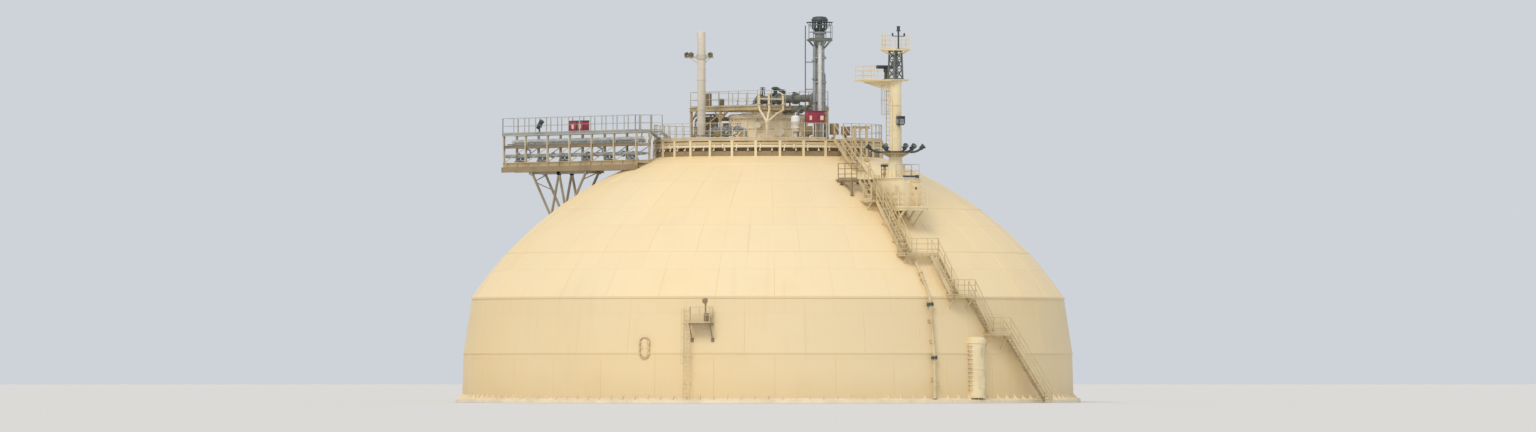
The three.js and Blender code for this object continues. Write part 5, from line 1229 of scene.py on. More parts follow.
def makeDeckPipes():
    # spray manifold on the round platform, cable trays and boxes on both decks
    v = deckPipeValues
    y, z = v["y"], v["z"]
    m = Shape().tube([(x, y, pipeZ) for x, pipeZ in v["manifold"]], 0.11, 14)
    for x in v["valves"]:
        m.many("flange", [((x + dx, y, z), (1, 0, 0), 0.19, 0.05, 8) for dx in (-0.22, 0.22)])
        m.pin(0.12, 18.98, 19.34, 14, x, y).pin(0.03, 19.3, 19.5, 8, x, y).wheel((x, y, 19.5), (0, 0, 1), 0.2)
        m.tube([(x, y, 19.0), (x, y, 18.8), (x, y - 0.3, 18.68), (x, y - 1.7, 18.68)], 0.06, 10)
    draw("spray_manifold", "pipeGrey", "vent_grey", [m])
    b, low = Shape(), v["boxZ"]
    for x, y, turn, (long, wide, tall) in v["boxes"]:
        b.block(long, wide, tall, x, y, low, turn)
        b.block(long * 1.08, wide * 1.1, 0.03, x, y, low + tall, turn)
        b.block(long * 0.7, wide * 0.6, 0.09, x, y, low - 0.08, turn)
    for azimuth, tall in v["posts"]:
        p = around(v["postRadius"], azimuth)
        b.block(0.42, 0.5, tall * 0.7, p.x, p.y, deckZ + tall * 0.3, azimuth)
        b.block(0.1, 0.1, tall * 0.32, p.x, p.y, deckZ, azimuth)
    draw("deck_cabinets", "chordBrown", "steel_tan", [b], bevel=0.01)
    y, z = v["lineY"], v["pipeZ"]
    c = Shape()
    c.many("tube", [([(x, trayY, trayZ) for x, trayZ in v["tray"]], 0.045, 8) for trayY in v["trayY"]])
    c.tube(v["drain"], 0.07, 10).tube([(x, y, z) for x in v["line"]], 0.06, 10)
    for x in v["cocks"]:
        c.flange((x, y, z), (1, 0, 0), 0.11, 0.04, 6).pin(0.025, z, 21.2, 8, x, y)
        c.wheel((x, y, 21.2), (0, 0, 1), 0.12)
    draw("deck_lines", "pipeGrey", "vent_grey", [c])


# Side pole with crosstree, ladder and lamps

poleValues = {
    "x": -0.5, "y": -5.35, "radius": 0.285, "treeZ": 24.2, "ladderAzimuth": 145, "ladderOff": 0.35,
    "ladderFoot": 18.42,
    "tube": ((0, 18.4), (0.285, 18.4), (0.285, 25.7), (0.2736, 25.95), (0.228, 26.0), (0, 26.0)),
    "bands": (20.5, 22.6), "ties": (19.6, 21.6, 23.2), "along": (0.575, 0.818), "lamps": (-1.02, -0.72, 0.62),
    # arms: start and end along the crosstree and above it, width, depth
    "arms": ((-1.2, 0, -0.28, 0, 0.14, 0.13), (0.28, 0, 0.85, 0, 0.14, 0.13), (-0.85, 0, -0.28, -0.42, 0.06),
             (0.62, 0, 0.28, -0.38, 0.06)),
}


def makePole():
    v = poleValues
    x, y, r, treeZ, azimuth = v["x"], v["y"], v["radius"], v["treeZ"], v["ladderAzimuth"]
    s = Shape(place=(x, y, 0)).turned(v["tube"], 32).pin(0.47, deckZ, 18.46, 32)
    s.pin(0.03, 25.6, 26.0, 6, -0.25, -0.2)
    s.many("hoop", [(r - 0.01, r + 0.03, z, 0.1, 32) for z in v["bands"]])
    for z in v["ties"]:
        for side in (-0.2, 0.2):
            start = around(side, azimuth + 90, z)
            s.bar(start, start + around(r + 0.36, azimuth), 0.04)
    fin = Shape().plate([(r - 0.02, 18.44), (0.45, 18.44), (0.45, 18.5), (r - 0.02, 18.85)], 0.03)
    foot = Vector((x, y, 0)) + around(r + v["ladderOff"], azimuth, v["ladderFoot"])
    climb = ladder(foot, (foot.x, foot.y, treeZ), azimuth)
    draw("kingpost_tube", "poleGrey", "mast_cream", [s, roundRow(fin, 8, 22, x, y), *climb], "kingpost")

    along, across = Vector((*v["along"], 0)), Vector((v["along"][1], -v["along"][0], 0))

    def spot(out, up=0.0, ahead=0.0):
        return along * out + across * ahead + Vector((0, 0, treeZ + up))

    arms, lamps, glass = [Shape(place=(x, y, 0)) for k in range(3)]
    arms.hoop(r + 0.002, r + 0.07, treeZ - 0.12, 0.32, 32)
    for start, startUp, end, endUp, *section in v["arms"]:
        arms.bar(spot(start, startUp), spot(end, endUp), *section)
    for out in v["lamps"]:
        lamps.rod(spot(out), spot(out, 0.14), 0.04, 8)
        lamps.many("bar", [(spot(out + d, 0.1), spot(out + d, 0.3), 0.02, 0.06) for d in (-0.16, 0.16)])
        lamps.rod(spot(out, 0.26, -0.12), spot(out, 0.16, 0.16), 0.13, 16, 0.19)
        glass.rod(spot(out, 0.16, 0.16), spot(out, 0.155, 0.172), 0.15, 16)
    draw("kingpost_arms", "railTan", "steel_tan", [arms])
    draw("kingpost_lamps", "legGrey", "lamp_dark", [lamps], "crosstree")
    draw("kingpost_lamp_glass", "windowDark", "lamp_dark", [glass])


for make in (makeVent, makeHeader, makeDeckPipes, makePole):
    make()
print("vent mast and pole ready")


# Walkway that reaches aft

walkValues = {
    "aft": -18.5, "fore": -1.6, "bays": 6, "y": -9.5, "half": 0.7, "deck": 19.05, "girderTop": 17.0,
    "girderLow": 16.3,
    "beamZ": 18.1, "gateX": -2.35, "gateHalf": 0.65, "gateWide": 1.4, "pipeZ": 17.45, "side": 0.55,
    "slats": 152, "slatStep": 0.111, "rail": (1.4, 1.1, 2, 0.036, 0.012, 0.06), "boxes": (-10.25, -9.35),
    "flanges": (-17.0, -12.6, -8.2, -3.8), "cocks": (-15.5, -6.4), "lagZ": 18.5, "trayZ": 18.28,
}
trestleValues = {
    "sole": (-15.2, -7.4), "legs": ((-12.4, -14.8), (-12.4, -11.4), (-10.4, -11.4), (-10.4, -8.0)),
    "crossX": (-12.4, -10.4, -8.0), "reach": 1.25, "drop": 4.0, "brace": 0.035,
    # braces: x, side and depth under the girder at both ends
    "braces": (((-14.3, -1, 0.6), (-14.3, 1, 0.1)), ((-13.4, 1, 1.4), (-14.1, -1, 0.8)),
               ((-8.4, -1, 0.6), (-8.1, 1, 0.1))),
}


def makeGirders():
    v = walkValues
    aft, fore, y, deck, beamZ, bays = v["aft"], v["fore"], v["y"], v["deck"], v["beamZ"], v["bays"]
    top, low, bay, start = v["girderTop"], v["girderLow"], (fore - aft) / bays, aft + 0.1
    sides = (y - v["side"], y + v["side"])
    middle = (top + low) / 2
    chords, shadeSkirt, post, rib, braces = Shape(), Shape(), Shape(), Shape(), []
    for side in sides:
        chords.channel((aft, side, middle), (fore, side, middle), 0.3, 0.7, 0.035)
        # the middle chord in darker brown: partly painted shade under the walkway deck
        shadeSkirt.channel((aft, side, beamZ), (fore, side, beamZ), 0.13, 0.2, 0.02)
        # dark plates over the lower half of each girder: painted shade
        for face in (-0.16, 0.16):
            shadeSkirt.block(fore - aft - 0.02, 0.03, 0.36, (aft + fore) / 2, side + face, low + 0.01)
        post.channel((start, side, top - 0.02), (start, side, deck - 0.15), 0.13, 0.14, 0.02)
        rib.block(0.02, 0.29, 0.64, aft + 0.6, side, low + 0.03)
        braces += [[(start + k * bay, side, top), (aft + (k + 1) * bay, side, beamZ - 0.08)]
                   for k in range(bays)]
    for z, width, depth in ((top - 0.12, 0.14, 0.2), (beamZ + 0.02, 0.1, 0.14)):
        post.channel((start, y - 0.6, z), (start, y + 0.6, z), width, depth, 0.02)
    draw("walkway_chords", "chordBrown", "steel_tan", [shadeSkirt])
    draw("walkway_frame", "steelTan", "steel_tan",
         [chords, lineRow(rib, 13, (1.32, 0, 0)), struts(braces, 0.03)], "walkway_girder")
    draw("walkway_posts", "railTan", "steel_tan",
         [lineRow(post, bays + 1, ((fore - aft - 0.2) / bays, 0, 0))])


def makeWalkDeck():
    # grating on edge beams, the side landing and its steps down to the round platform, the handrail
    v = walkValues
    aft, fore, y, half, deck, gate = v["aft"], v["fore"], v["y"], v["half"], v["deck"], v["gateX"]
    start, end, wide = y + half - 0.05, y + half + 1.0, v["gateWide"]
    d = Shape()
    d.many("channel", [((aft, side, deck - 0.09), (fore, side, deck - 0.09), 0.09, 0.16, 0.018)
                       for side in (y - half + 0.05, start)])
    d.block(wide, end - start, 0.03, gate, (start + end) / 2, deck - 0.06)
    for x in (gate - v["gateHalf"], gate + v["gateHalf"]):
        d.bar((x, start, deck - 0.08), (x, end, deck - 0.08), 0.06, 0.12)
        d.bar((x, end - 0.1, deck - 0.12), (x, end + 0.72, 18.42), 0.05, 0.2)
        d.bar((x, start + 0.2, deck - 0.1), (x, y + half - 0.1, 18.2), 0.05)
    for k in (1, 2):
        d.block(wide - 0.1, 0.22, 0.035, gate, end + (k - 0.55) * 0.3, deck - k * 0.217 - 0.08)
    cross = Shape().bar((aft + 0.1, y - half + 0.05, deck - 0.1), (aft + 0.1, start, deck - 0.1), 0.06, 0.1)
    slat = Shape().block(0.018, 2 * half - 0.12, 0.04, aft + 0.05, y, deck - 0.042)
    tie = Shape().block(fore - aft - 0.05, 0.012, 0.02, (aft + fore) / 2, y - half + 0.15, deck - 0.025)
    left, right, near = aft + 0.1, fore - 0.1, y - half + 0.05
    lines = [((left, near), (right, near)), ((left, start), (gate - 0.75, start)),
             ((left, near), (left, start)), ((right, near), (right, start))]
    lines += [((x, y + half), (x, end - 0.06)) for x in (gate - v["gateHalf"], gate + v["gateHalf"])]
    draw("walkway_floor", "railGrey", "steel_tan",
         [d, lineRow(slat, v["slats"], (v["slatStep"], 0, 0)), lineRow(tie, 8, (0, 0.157, 0)),
          lineRow(cross, 13, (1.39, 0, 0)),
          rails([[(*p, deck) for p in line] for line in lines], *v["rail"])],
         "walkway_deck")


def makeTrestle():
    # legs that lean from the girder down to the cover
    v, y, half = trestleValues, walkValues["y"], walkValues["side"]
    under = walkValues["girderLow"] - 0.01
    soleZ = under - 0.08
    t = Shape()
    for side in (y - half, y + half):
        t.channel(*[(x, side, soleZ) for x in v["sole"]], 0.16, 0.16, 0.02)
        for foot, top in v["legs"]:
            for k in range(100):
                x, z = top - (top - foot) * v["reach"] * k / 100, under - v["drop"] * k / 100
                if math.hypot(x, side) < 24 and z < domeHeight(math.hypot(x, side)):
                    break
            t.bar((top, side, soleZ), (x, side, z), 0.13)
            t.block(0.34, 0.34, 0.05, x, side, z + 0.02).block(0.3, 0.18, 0.26, top, side, under - 0.24)
    t.many("bar", [((x, y - half, soleZ), (x, y + half, soleZ), 0.11) for x in v["crossX"]])
    braces = [[(x, y + side * half, under - drop) for x, side, drop in line] for line in v["braces"]]
    draw("walkway_struts", "legGrey", "steel_tan", [t, struts(braces, v["brace"])], "walkway_trestle")


def makeWalkPipes():
    v = walkValues
    aft, fore, y, z, trayZ, lagZ = v["aft"], v["fore"], v["y"], v["pipeZ"], v["trayZ"], v["lagZ"]
    p = Shape()
    for dy, dz, radius, sides in ((-0.25, 0, 0.13, 20), (0.2, 0, 0.1, 16), (0.42, 0.02, 0.04, 10)):
        p.rod((aft, y + dy, z + dz), (fore, y + dy, z + dz), radius, sides)
    for x in v["flanges"]:
        p.flange((x, y - 0.25, z), (1, 0, 0), 0.22, 0.07, 8)
        p.flange((x + 0.6, y + 0.2, z), (1, 0, 0), 0.18, 0.06, 8)
    for x in v["cocks"]:
        p.tube([(x, y + dy, z + dz) for dy, dz in ((-0.25, 0), (-0.25, 0.35), (-0.4, 0.45), (-0.62, 0.45))],
               0.05, 10)
        p.wheel((x, y - 0.25, z + 0.42), (0, 0, 1), 0.14)
    saddle = Shape().block(0.1, 1.0, 0.12, aft + 1.4, y, 17.0)
    saddle.block(0.08, 0.34, 0.2, aft + 1.4, y - 0.25, z - 0.3)
    saddle.block(0.08, 0.3, 0.22, aft + 1.4, y + 0.2, z - 0.3)
    tray = Shape()
    tray.many("bar", [((aft, y + edge, trayZ), (fore, y + edge, trayZ), 0.015, 0.1) for edge in (-0.2, 0.2)])
    rung = Shape().block(0.03, 0.4, 0.02, aft + 0.2, y, trayZ - 0.04)
    cables = [[(x, y - 0.12 + 0.06 * k, trayZ + 0.01) for x in (aft, fore)] for k in range(5)]
    draw("walkway_lines", "pipeGrey", "vent_grey",
         [p, lineRow(saddle, v["bays"], ((fore - aft) / v["bays"], 0, 0)), tray,
          lineRow(rung, 56, (0.3, 0, 0)), struts(cables, 0.022, 6)], "walkway_pipes")
    # the lagged pipe in the whitest paint: its white cladding, made whiter as painted light against the shade
    # under the walkway deck
    lagged = Shape().rod((aft, y + 0.3, lagZ), (fore, y + 0.3, lagZ), 0.14, 20)
    band = Shape().rod((aft + 0.3, y + 0.3, lagZ), (aft + 0.36, y + 0.3, lagZ), 0.15, 20)
    band.block(0.06, 0.2, 0.22, aft + 0.33, y + 0.3, lagZ - 0.32)
    draw("walkway_lagged_pipe", "drumWhite", "vent_grey", [lagged, lineRow(band, 21, (0.8, 0, 0))])


lockerValues = {
    # sizes and places from the foot of each hose box
    "box": ((0.86, 0.5, 0.74, 0, 0.1, 0.05), (0.76, 0.02, 0.6, 0, -0.155, 0.1)),
    "trim": ((0.9, 0.54, 0.06, 0, 0.1, 0.76), (0.14, 0.03, 0.03, 0, -0.17, 0.62),
             (0.08, 0.4, 0.06, -0.3, 0.1, 0),
             (0.08, 0.4, 0.06, 0.3, 0.1, 0), (0.05, 0.05, 0.74, -0.43, -0.15, 0.04),
             (0.05, 0.05, 0.74, 0.43, -0.15, 0.04)),
    "panel": ((0.26, 0.012, 0.3, 0, -0.168, 0.24),),
    "lampX": -14.7, "lampBars": (((0, -0.2, 0.42), (0, -0.2, 0.66), 0.03),
                                 ((0, 0.2, 0.42), (0, 0.2, 0.66), 0.03),
                                 ((0, -0.21, 0.42), (0, 0.21, 0.42), 0.04)),
}


def makeLockers():
    # hose boxes and the signal lamp on the walkway
    v, y, deck = lockerValues, walkValues["y"], walkValues["deck"]
    kinds = {key: Shape() for key in ("box", "trim", "panel")}
    for x in walkValues["boxes"]:
        for key, shape in kinds.items():
            shape.many("block", [(*size, x + dx, y + dy, deck + dz) for *size, dx, dy, dz in v[key]])
    draw("walkway_hose_boxes", "boxRed", "box_red", [kinds["box"]], "walkway_lockers", bevel=0.012)
    draw("hose_box_lids", "darkSteel", "box_red", [kinds["trim"]])
    draw("hose_box_panels", "mastCream", "box_red", [kinds["panel"]])
    lamp = Shape(place=(v["lampX"], y, deck)).pin(0.06, 0, 0.42).pin(0.14, 0, 0.04, 16)
    lamp.many("bar", v["lampBars"])
    lamp.rod((-0.14, -0.07, 0.34), (0.18, 0.07, 0.84), 0.12, 20, 0.18)
    lamp.rod((0.18, 0.07, 0.84), (0.21, 0.083, 0.885), 0.19, 20)
    draw("signal_lamp", "darkSteel", "lamp_dark", [lamp], "searchlight")


for make in (makeGirders, makeWalkDeck, makeTrestle, makeWalkPipes, makeLockers):
    make()
print("walkway ready")


# Foremast on its house

houseValues = {
    "floor": 13.5, "roof": 15.6, "x": 15.55, "ribX": (14.95, 16.15), "louvreX": 16.75, "louvres": 6,
    "trim": ((0.1, 1.25, 0.13, 3.29, -0.13, 0.0), (0.16, 0.22, 0.2, 3.31, 0.4, -0.04)), "ventX": 14.1,
    "ventNeck": ((0, 0.28), (0.2, 0.28), (0.25, 0.3), (0.25, 0.34), (0.2, 0.36), (0, 0.36)),
    "ventHood": ((0, 0.78), (0.26, 0.78), (0.28, 0.8), (0.28, 0.86), (0.2, 0.91), (0, 0.92)),
    # door: blocks and their height above the floor, hinges
    "doorX": 17.35, "doorY": 0.3,
    "door": ((0.05, 0.7, 1.6, 0.03, 0, 0.15), (0.07, 0.06, 1.72, 0.03, -0.38, 0.1),
             (0.07, 0.06, 1.72, 0.03, 0.38, 0.1),
             (0.07, 0.82, 0.06, 0.03, 0, 1.78), (0.03, 0.5, 0.55, 0.06, 0, 0.35),
             (0.03, 0.03, 0.16, 0.11, -0.25, 0.88)),
    "hinges": (0.45, 0.95, 1.45), "grab": ((-0.1, 1.8), (0.08, 1.74), (0.08, 0.5), (-0.1, 0.44)),
    "port": (1.35, 0.09), "balconyBeams": (15.6, 16.7, 17.8, 17.95), "legX": 15.6,
    "strutX": (16.7, 17.7), "legY": 0.8,
    "edge": ((17.45, 0.89), (17.94, 0.89), (17.94, -0.89), (15.2, -0.89)),
    "edgeRail": (0.95, 1.1, 3, 0.032, 0.024, 0.1),
    "roofEdge": ((14.6, 0.68), (17.27, 0.68), (17.27, -0.68), (16.4, -0.68)),
    "roofRail": (0.8, 0.9, 2, 0.03, 0.022, 0.05),
}


def makeMastHouse():
    v = houseValues
    floor, roof, x = v["floor"], v["roof"], v["x"]
    tall = roof - floor
    s = Shape().block(3.6, 1.5, tall - 0.06, x, 0, floor).block(3.76, 1.66, 0.07, x, 0, roof - 0.075)
    s.block(3.64, 1.54, 0.08, x, 0, roof - 0.2).block(3.66, 1.56, 0.12, x, 0, floor)
    for y in (-1, 1):
        s.many("block", [(0.07, 0.04, tall - 0.2, ribX, y * 0.77, floor) for ribX in v["ribX"]])
        s.block(0.62, 0.05, 0.5, v["louvreX"], y * 0.765, floor + 1.1)
        for k in range(v["louvres"]):
            s.block(0.54, 0.05, 0.03, v["louvreX"], y * 0.788, floor + 1.15 + 0.07 * k)
    s.block(0.3, 0.2, 0.2, 14.0, -0.5, roof)
    draw("mast_cabin", "mastCream", "mast_cream", [s], "mast_house", bevel=0.01)
    spot = (v["ventX"], 0, roof)
    vent = Shape(place=spot).pin(0.09, 0, 0.84, 16).pin(0.17, 0, 0.05, 16).turned(v["ventNeck"], 28)
    draw("cabin_vent_stem", "steelTan", "steel_tan", [vent])
    trim = Shape(place=spot).turned(v["ventHood"], 28).many("block", v["trim"])
    trim.pin(0.018, 0.1, 0.55, 8, 3.29, -0.1)
    draw("cabin_roof_trim", "darkSteel", "lamp_dark", [trim])
    d = Shape(place=(v["doorX"], v["doorY"], floor)).many("block", v["door"])
    for z in v["hinges"]:
        d.block(0.06, 0.14, 0.05, 0.06, 0.33, z).bar((0.08, -0.36, z), (0.08, -0.22, z + 0.04), 0.03)
    d.tube([(out, -0.44, z) for out, z in v["grab"]], 0.035, 8)
    knob = Shape(place=(v["doorX"], v["doorY"], 0))
    knob.rod((0.06, -0.25, floor + 0.95), (0.1, -0.25, floor + 0.95), 0.03, 8)
    draw("mast_cabin_door", "coverLow", "cover_low", [d, knob], "mast_house_door", bevel=0.006)
    portZ, portRadius = v["port"]
    pane = Shape(place=(v["doorX"], v["doorY"], floor))
    pane.rod((0.06, 0, portZ), (0.09, 0, portZ), portRadius, 20)
    draw("cabin_door_port", "windowDark", "lamp_dark", [pane])

    b = Shape().block(4.25, 1.9, 0.05, 15.875, 0, floor - 0.05)
    z = floor - 0.12
    b.many("channel", [((13.75, y, z), (18.0, y, z), 0.09, 0.16, 0.02) for y in (-0.9, 0.9)])
    z = floor - 0.13
    b.many("channel", [((beamX, -0.93, z), (beamX, 0.93, z), 0.08, 0.14, 0.02)
                       for beamX in v["balconyBeams"]])
    for y in (-v["legY"], v["legY"]):
        low, legX = domeHeight(math.hypot(v["legX"], y)), v["legX"]
        b.block(0.13, 0.13, floor - 0.05 - low, legX, y, low - 0.05)
        b.block(0.3, 0.3, 0.06, legX, y, low - 0.03)
        for strutX in v["strutX"]:
            head = Vector((strutX, y, floor - 0.09))
            foot = head.copy()
            while foot.z > domeHeight(math.hypot(foot.x, y)) - 0.03:
                foot += Vector((-0.02, 0, -0.018))
            out = unit((foot.x, y, foot.z - cover["centre"]))
            b.bar(head, foot, 0.12).rod(foot - out * 0.05, foot + out * 0.05, 0.2, 16)
    edge, roofEdge = [(*p, floor) for p in v["edge"]], [(*p, roof) for p in v["roofEdge"]]
    draw("cabin_balcony", "mastCream", "mast_cream", [b, rails([edge], *v["edgeRail"])], "mast_house_deck")
    draw("cabin_roof_rails", "railTan", "steel_tan", [rails([roofEdge], *v["roofRail"])],
         "mast_house_railing")


mastValues = {
    "x": 15.4, "radius": 0.43, "dishZ": 17.2, "dishRadius": 1.0, "top": 22.3, "stageZ": 24.5, "tip": 26.1,
    "lampAzimuths": (-125, -57, -14, 6, 55, 104, 167), "columnBands": (18.9, 20.6),
    # arm of a crown lamp: distance and height above the dish
    "arm": ((1.05, 0.17), (1.3, 0.19), (1.5, 0.25), (1.7, 0.36), (1.88, 0.5)),
    "lampZ": 19.2, "lampBox": ((0.3, 0.44, 0.6, 0.6, 0, 0.03), (0.4, 0.5, 0.05, 0.62, 0, 0.61),
                               (0.36, 0.03, 0.5, 0.62, -0.235, 0.12), (0.36, 0.03, 0.5, 0.62, 0.235, 0.12),
                               (0.03, 0.36, 0.03, 0.765, 0, 0.3)),
    "lampPanes": ((0.03, 0.38, 0.36, 0.76, 0, 0.1), (0.22, 0.02, 0.3, 0.6, -0.255, 0.14)),
}
radarValues = {
    "reach": 3.9, "half": 0.7, "beams": 6, "beamStep": 0.86, "railStart": 1.6,
    "rail": (0.8, 1.0, 3, 0.03, 0.022, 0.08),
    "foot": ((0, 0), (0.22, 0), (0.22, 0.04), (0.14, 0.06), (0.13, 0.5), (0.19, 0.54),
             (0.19, 0.72), (0.08, 0.78), (0, 0.78)),
    "bar": ((-0.1, 0.76), (0.12, 0.74), (0.16, 0.86), (0.12, 0.99), (-0.1, 0.97)),
    "barLength": 1.6, "barX": 1.1,
    "lattice": (22.422, 24.399), "levels": (0.06, 0.72, 1.38, 1.917), "spread": (0.36, 0.06),
    "stageRail": (9, 1.0, 3, 0.028, 0.02, 0.08), "stays": 8, "topLampX": 0.35,
    "lantern": ((0, 25.74), (0.15, 25.74), (0.15, 25.8), (0.11, 25.82), (0.11, 26.02),
                (0.14, 26.04), (0.1, 26.1), (0, 26.1)),
}


def makeMast():
    # pedestal, dish with its crown of lamps, tapered column and lamp box
    v = mastValues
    x, r, z, dishR, top = v["x"], v["radius"], v["dishZ"], v["dishRadius"], v["top"]
    rim, middle, roof = z + 0.12, (x, 0, 0), houseValues["roof"]
    p = Shape(place=middle).turned([[0, roof], [0.72, roof], [0.72, roof + 0.06],
                                    [0.6, roof + 0.07], [r, z - 0.06],
                                    [0.5, z - 0.05], [0.5, z - 0.001], [0, z - 0.001]], 48)
    fin = [(0.55, roof + 0.05), (0.71, roof + 0.05), (0.71, roof + 0.1), (0.5, roof + 0.8)]
    draw("mast_foot", "mastCream", "mast_cream", [p, roundRow(Shape().plate(fin, 0.03), 12, x=x)],
         "mast_pedestal")
    d = Shape(place=middle).turned([[0, z], [0.5, z], [dishR - 0.02, rim - 0.01], [dishR, rim + 0.01],
                                    [dishR, rim + 0.1], [dishR - 0.05, rim + 0.1], [dishR - 0.06, rim + 0.03],
                                    [0.56, z + 0.08], [0.55, z + 0.25], [0, z + 0.25]], 64)
    rib = [(0.44, z + 0.01), (dishR - 0.04, rim), (dishR - 0.04, rim - 0.05), (0.44, z - 0.2)]
    draw("lamp_dish", "steelTan", "steel_tan", [d, roundRow(Shape().plate(rib, 0.04), 14, x=x)],
         "floodlight_dish")
    arm = Shape().tube([(out, 0, z + up) for out, up in v["arm"]], 0.08, 10)
    arm.rod((1.72, 0, z + 0.4), (1.95, 0, z + 0.6), 0.12, 20, 0.18)
    arm.rod((1.94, 0, z + 0.59), (1.98, 0, z + 0.625), 0.195, 20)
    arm.rod((1.76, -0.23, z + 0.5), (1.76, 0.23, z + 0.5), 0.025, 8)
    arm.many("bar", [((1.72, y * 0.3, z + 0.36), (1.77, y, z + 0.52), 0.03, 0.05) for y in (-0.22, 0.22)])
    for k in range(3):
        out, up = 1.69 + 0.03 * k, z + 0.375 + 0.026 * k
        arm.rod((out, 0, up), (out + 0.01, 0, up + 0.009), 0.14, 16)
    ring = Shape(place=middle).hoop(dishR + 0.002, dishR + 0.08, rim, 0.1, 64)
    draw("lamp_dish_lights", "darkSteel", "lamp_dark",
         [ring] + [roundRow(arm, 1, azimuth, x) for azimuth in v["lampAzimuths"]], "floodlight_crown")
    pane = Shape().rod((1.975, 0, z + 0.621), (1.99, 0, z + 0.634), 0.175, 20)
    draw("crown_lamp_glass", "windowDark", "lamp_dark",
         [roundRow(pane, 1, azimuth, x) for azimuth in v["lampAzimuths"]])

    head = r * 0.92
    c = Shape(place=middle).turned([[0, z + 0.251], [r, z + 0.251], [r * 0.99, 19.0], [head, top - 0.12],
                                    [head + 0.06, top - 0.1], [head + 0.06, top - 0.001],
                                    [0, top - 0.001]], 40)
    c.hoop(r - 0.02, r + 0.05, z + 0.26, 0.08, 40)
    c.many("hoop", [(r - 0.04, r + 0.025, band, 0.07, 40) for band in v["columnBands"]])
    c.block(0.1, 0.24, 0.34, 0.0, -r - 0.02, 20.9)
    c.tube([(0.2, -r - 0.01, 17.5), (0.2, -r - 0.01, 21.0), (0.05, -r - 0.02, 21.2)], 0.025, 8)
    draw("mast_tube", "mastCream", "mast_cream", [c], "mast_column")
    h = Shape(place=(x, 0, v["lampZ"])).bar((r - 0.03, 0, 0.33), (0.5, 0, 0.33), 0.12)
    h.many("block", v["lampBox"])
    h.rod((0.6, -0.1, -0.04), (0.6, -0.1, 0.04), 0.03, 8)
    draw("mast_lamp_box", "darkSteel", "lamp_dark", [h], "mast_lamp", bevel=0.008)
    panes = Shape(place=(x, 0, v["lampZ"])).many("block", v["lampPanes"])
    draw("mast_lamp_pane", "pipeGrey", "lamp_dark", [panes])


def makeMastTop():
    # radar arm and bar, lattice, top stage and its lamp
    v, x, top, deck = radarValues, mastValues["x"], mastValues["top"], mastValues["stageZ"]
    middle, reach, half, tip = (x, 0, 0), v["reach"], v["half"], mastValues["tip"]
    a = Shape(place=middle).block(reach + 0.6, 1.5, 0.03, -reach / 2 + 0.3, 0, top + 0.09)
    z = top + 0.045
    a.many("channel", [((0.55, y, z), (-reach, y, z), 0.08, 0.09, 0.015) for y in (-half, half)])
    beams = [0.5 - v["beamStep"] * k for k in range(v["beams"])]
    a.many("bar", [((beamX, -half, z), (beamX, half, z), 0.06, 0.08) for beamX in beams])
    knee = [(-0.34, top), (0.5 - reach, top), (0.5 - reach, top - 0.06), (-0.34, top - 0.7)]
    a.many("plate", [(knee, 0.04, y) for y in (-0.25, 0.25)])
    start, end = x - v["railStart"], x - reach + 0.06
    line = [(start, 0.69, top + 0.12), (end, 0.69, top + 0.12), (end, -0.69, top + 0.12),
            (start, -0.69, top + 0.12)]
    draw("radar_arm", "mastCream", "mast_cream", [a, rails([line], *v["rail"])], "radar_platform")

    low, high = v["lattice"]
    corners = ((-1, -1), (-1, 1), (1, 1), (1, -1))

    def spot(k, z):
        out = v["spread"][0] - v["spread"][1] * (z - low) / (high - low)
        return x + corners[k % 4][0] * out, corners[k % 4][1] * out, z

    lattice, braces = Shape(), []
    levels = [low + up for up in v["levels"]]
    for k in range(4):
        lattice.bar(spot(k, low), spot(k, high), 0.09).block(0.16, 0.16, 0.03, *spot(k, low))
        braces += [[spot(k, z), spot(k + 1, z)] for z in levels]
        for under, over in zip(levels, levels[1:]):
            braces += [[spot(k, under), spot(k + 1, over)], [spot(k + 1, under), spot(k, over)]]
    lattice.pin(0.13, low, high, 16, x).block(0.4, 0.34, 0.4, x, 0, low + 0.9)
    draw("mast_lattice", "pipeDark", "vent_grey", [lattice, struts(braces, 0.03)], "upper_mast")
    n = Shape(place=(x - v["barX"], 0, top + 0.12)).turned(v["foot"], 24).plate(v["bar"], v["barLength"])
    n.block(0.05, 1.4, 0.05, -0.13, 0, 0.84)
    draw("radar_bar", "darkSteel", "lamp_dark", [n], "radar_scanner", bevel=0.01)
    t = Shape(place=middle)
    t.turned([[0, deck - 0.1], [1.0, deck - 0.1], [1.05, deck - 0.06], [1.05, deck], [0, deck]], 40)
    turns = [360 / v["stays"] * k for k in range(v["stays"])]
    t.many("bar", [(around(0.3, turn, deck - 0.45), around(0.98, turn, deck - 0.08), 0.04) for turn in turns])
    ring = [Vector(middle) + around(0.97, 72 + 216 * i / 9, deck) for i in range(10)]
    draw("mast_top_stage", "mastCream", "mast_cream", [t, rails([ring], *v["stageRail"])], "top_platform")
    g = Shape(place=(x + v["topLampX"], 0, 0)).pin(0.06, deck, tip - 0.35).pin(0.16, deck, deck + 0.04, 16)
    g.turned(v["lantern"], 20).bar((0, -0.5, deck + 0.9), (0, 0.5, deck + 0.9), 0.05)
    g.many("pin", [(0.06, deck + 0.9, deck + 1.12, 10, 0, y) for y in (-0.5, 0.5)])
    draw("mast_top_lamp", "darkSteel", "lamp_dark", [g], "top_light")


climbValues = {"off": 0.35, "foot": 17.6, "cageFoot": 20.0, "ties": (18.6, 20.2, 21.6)}


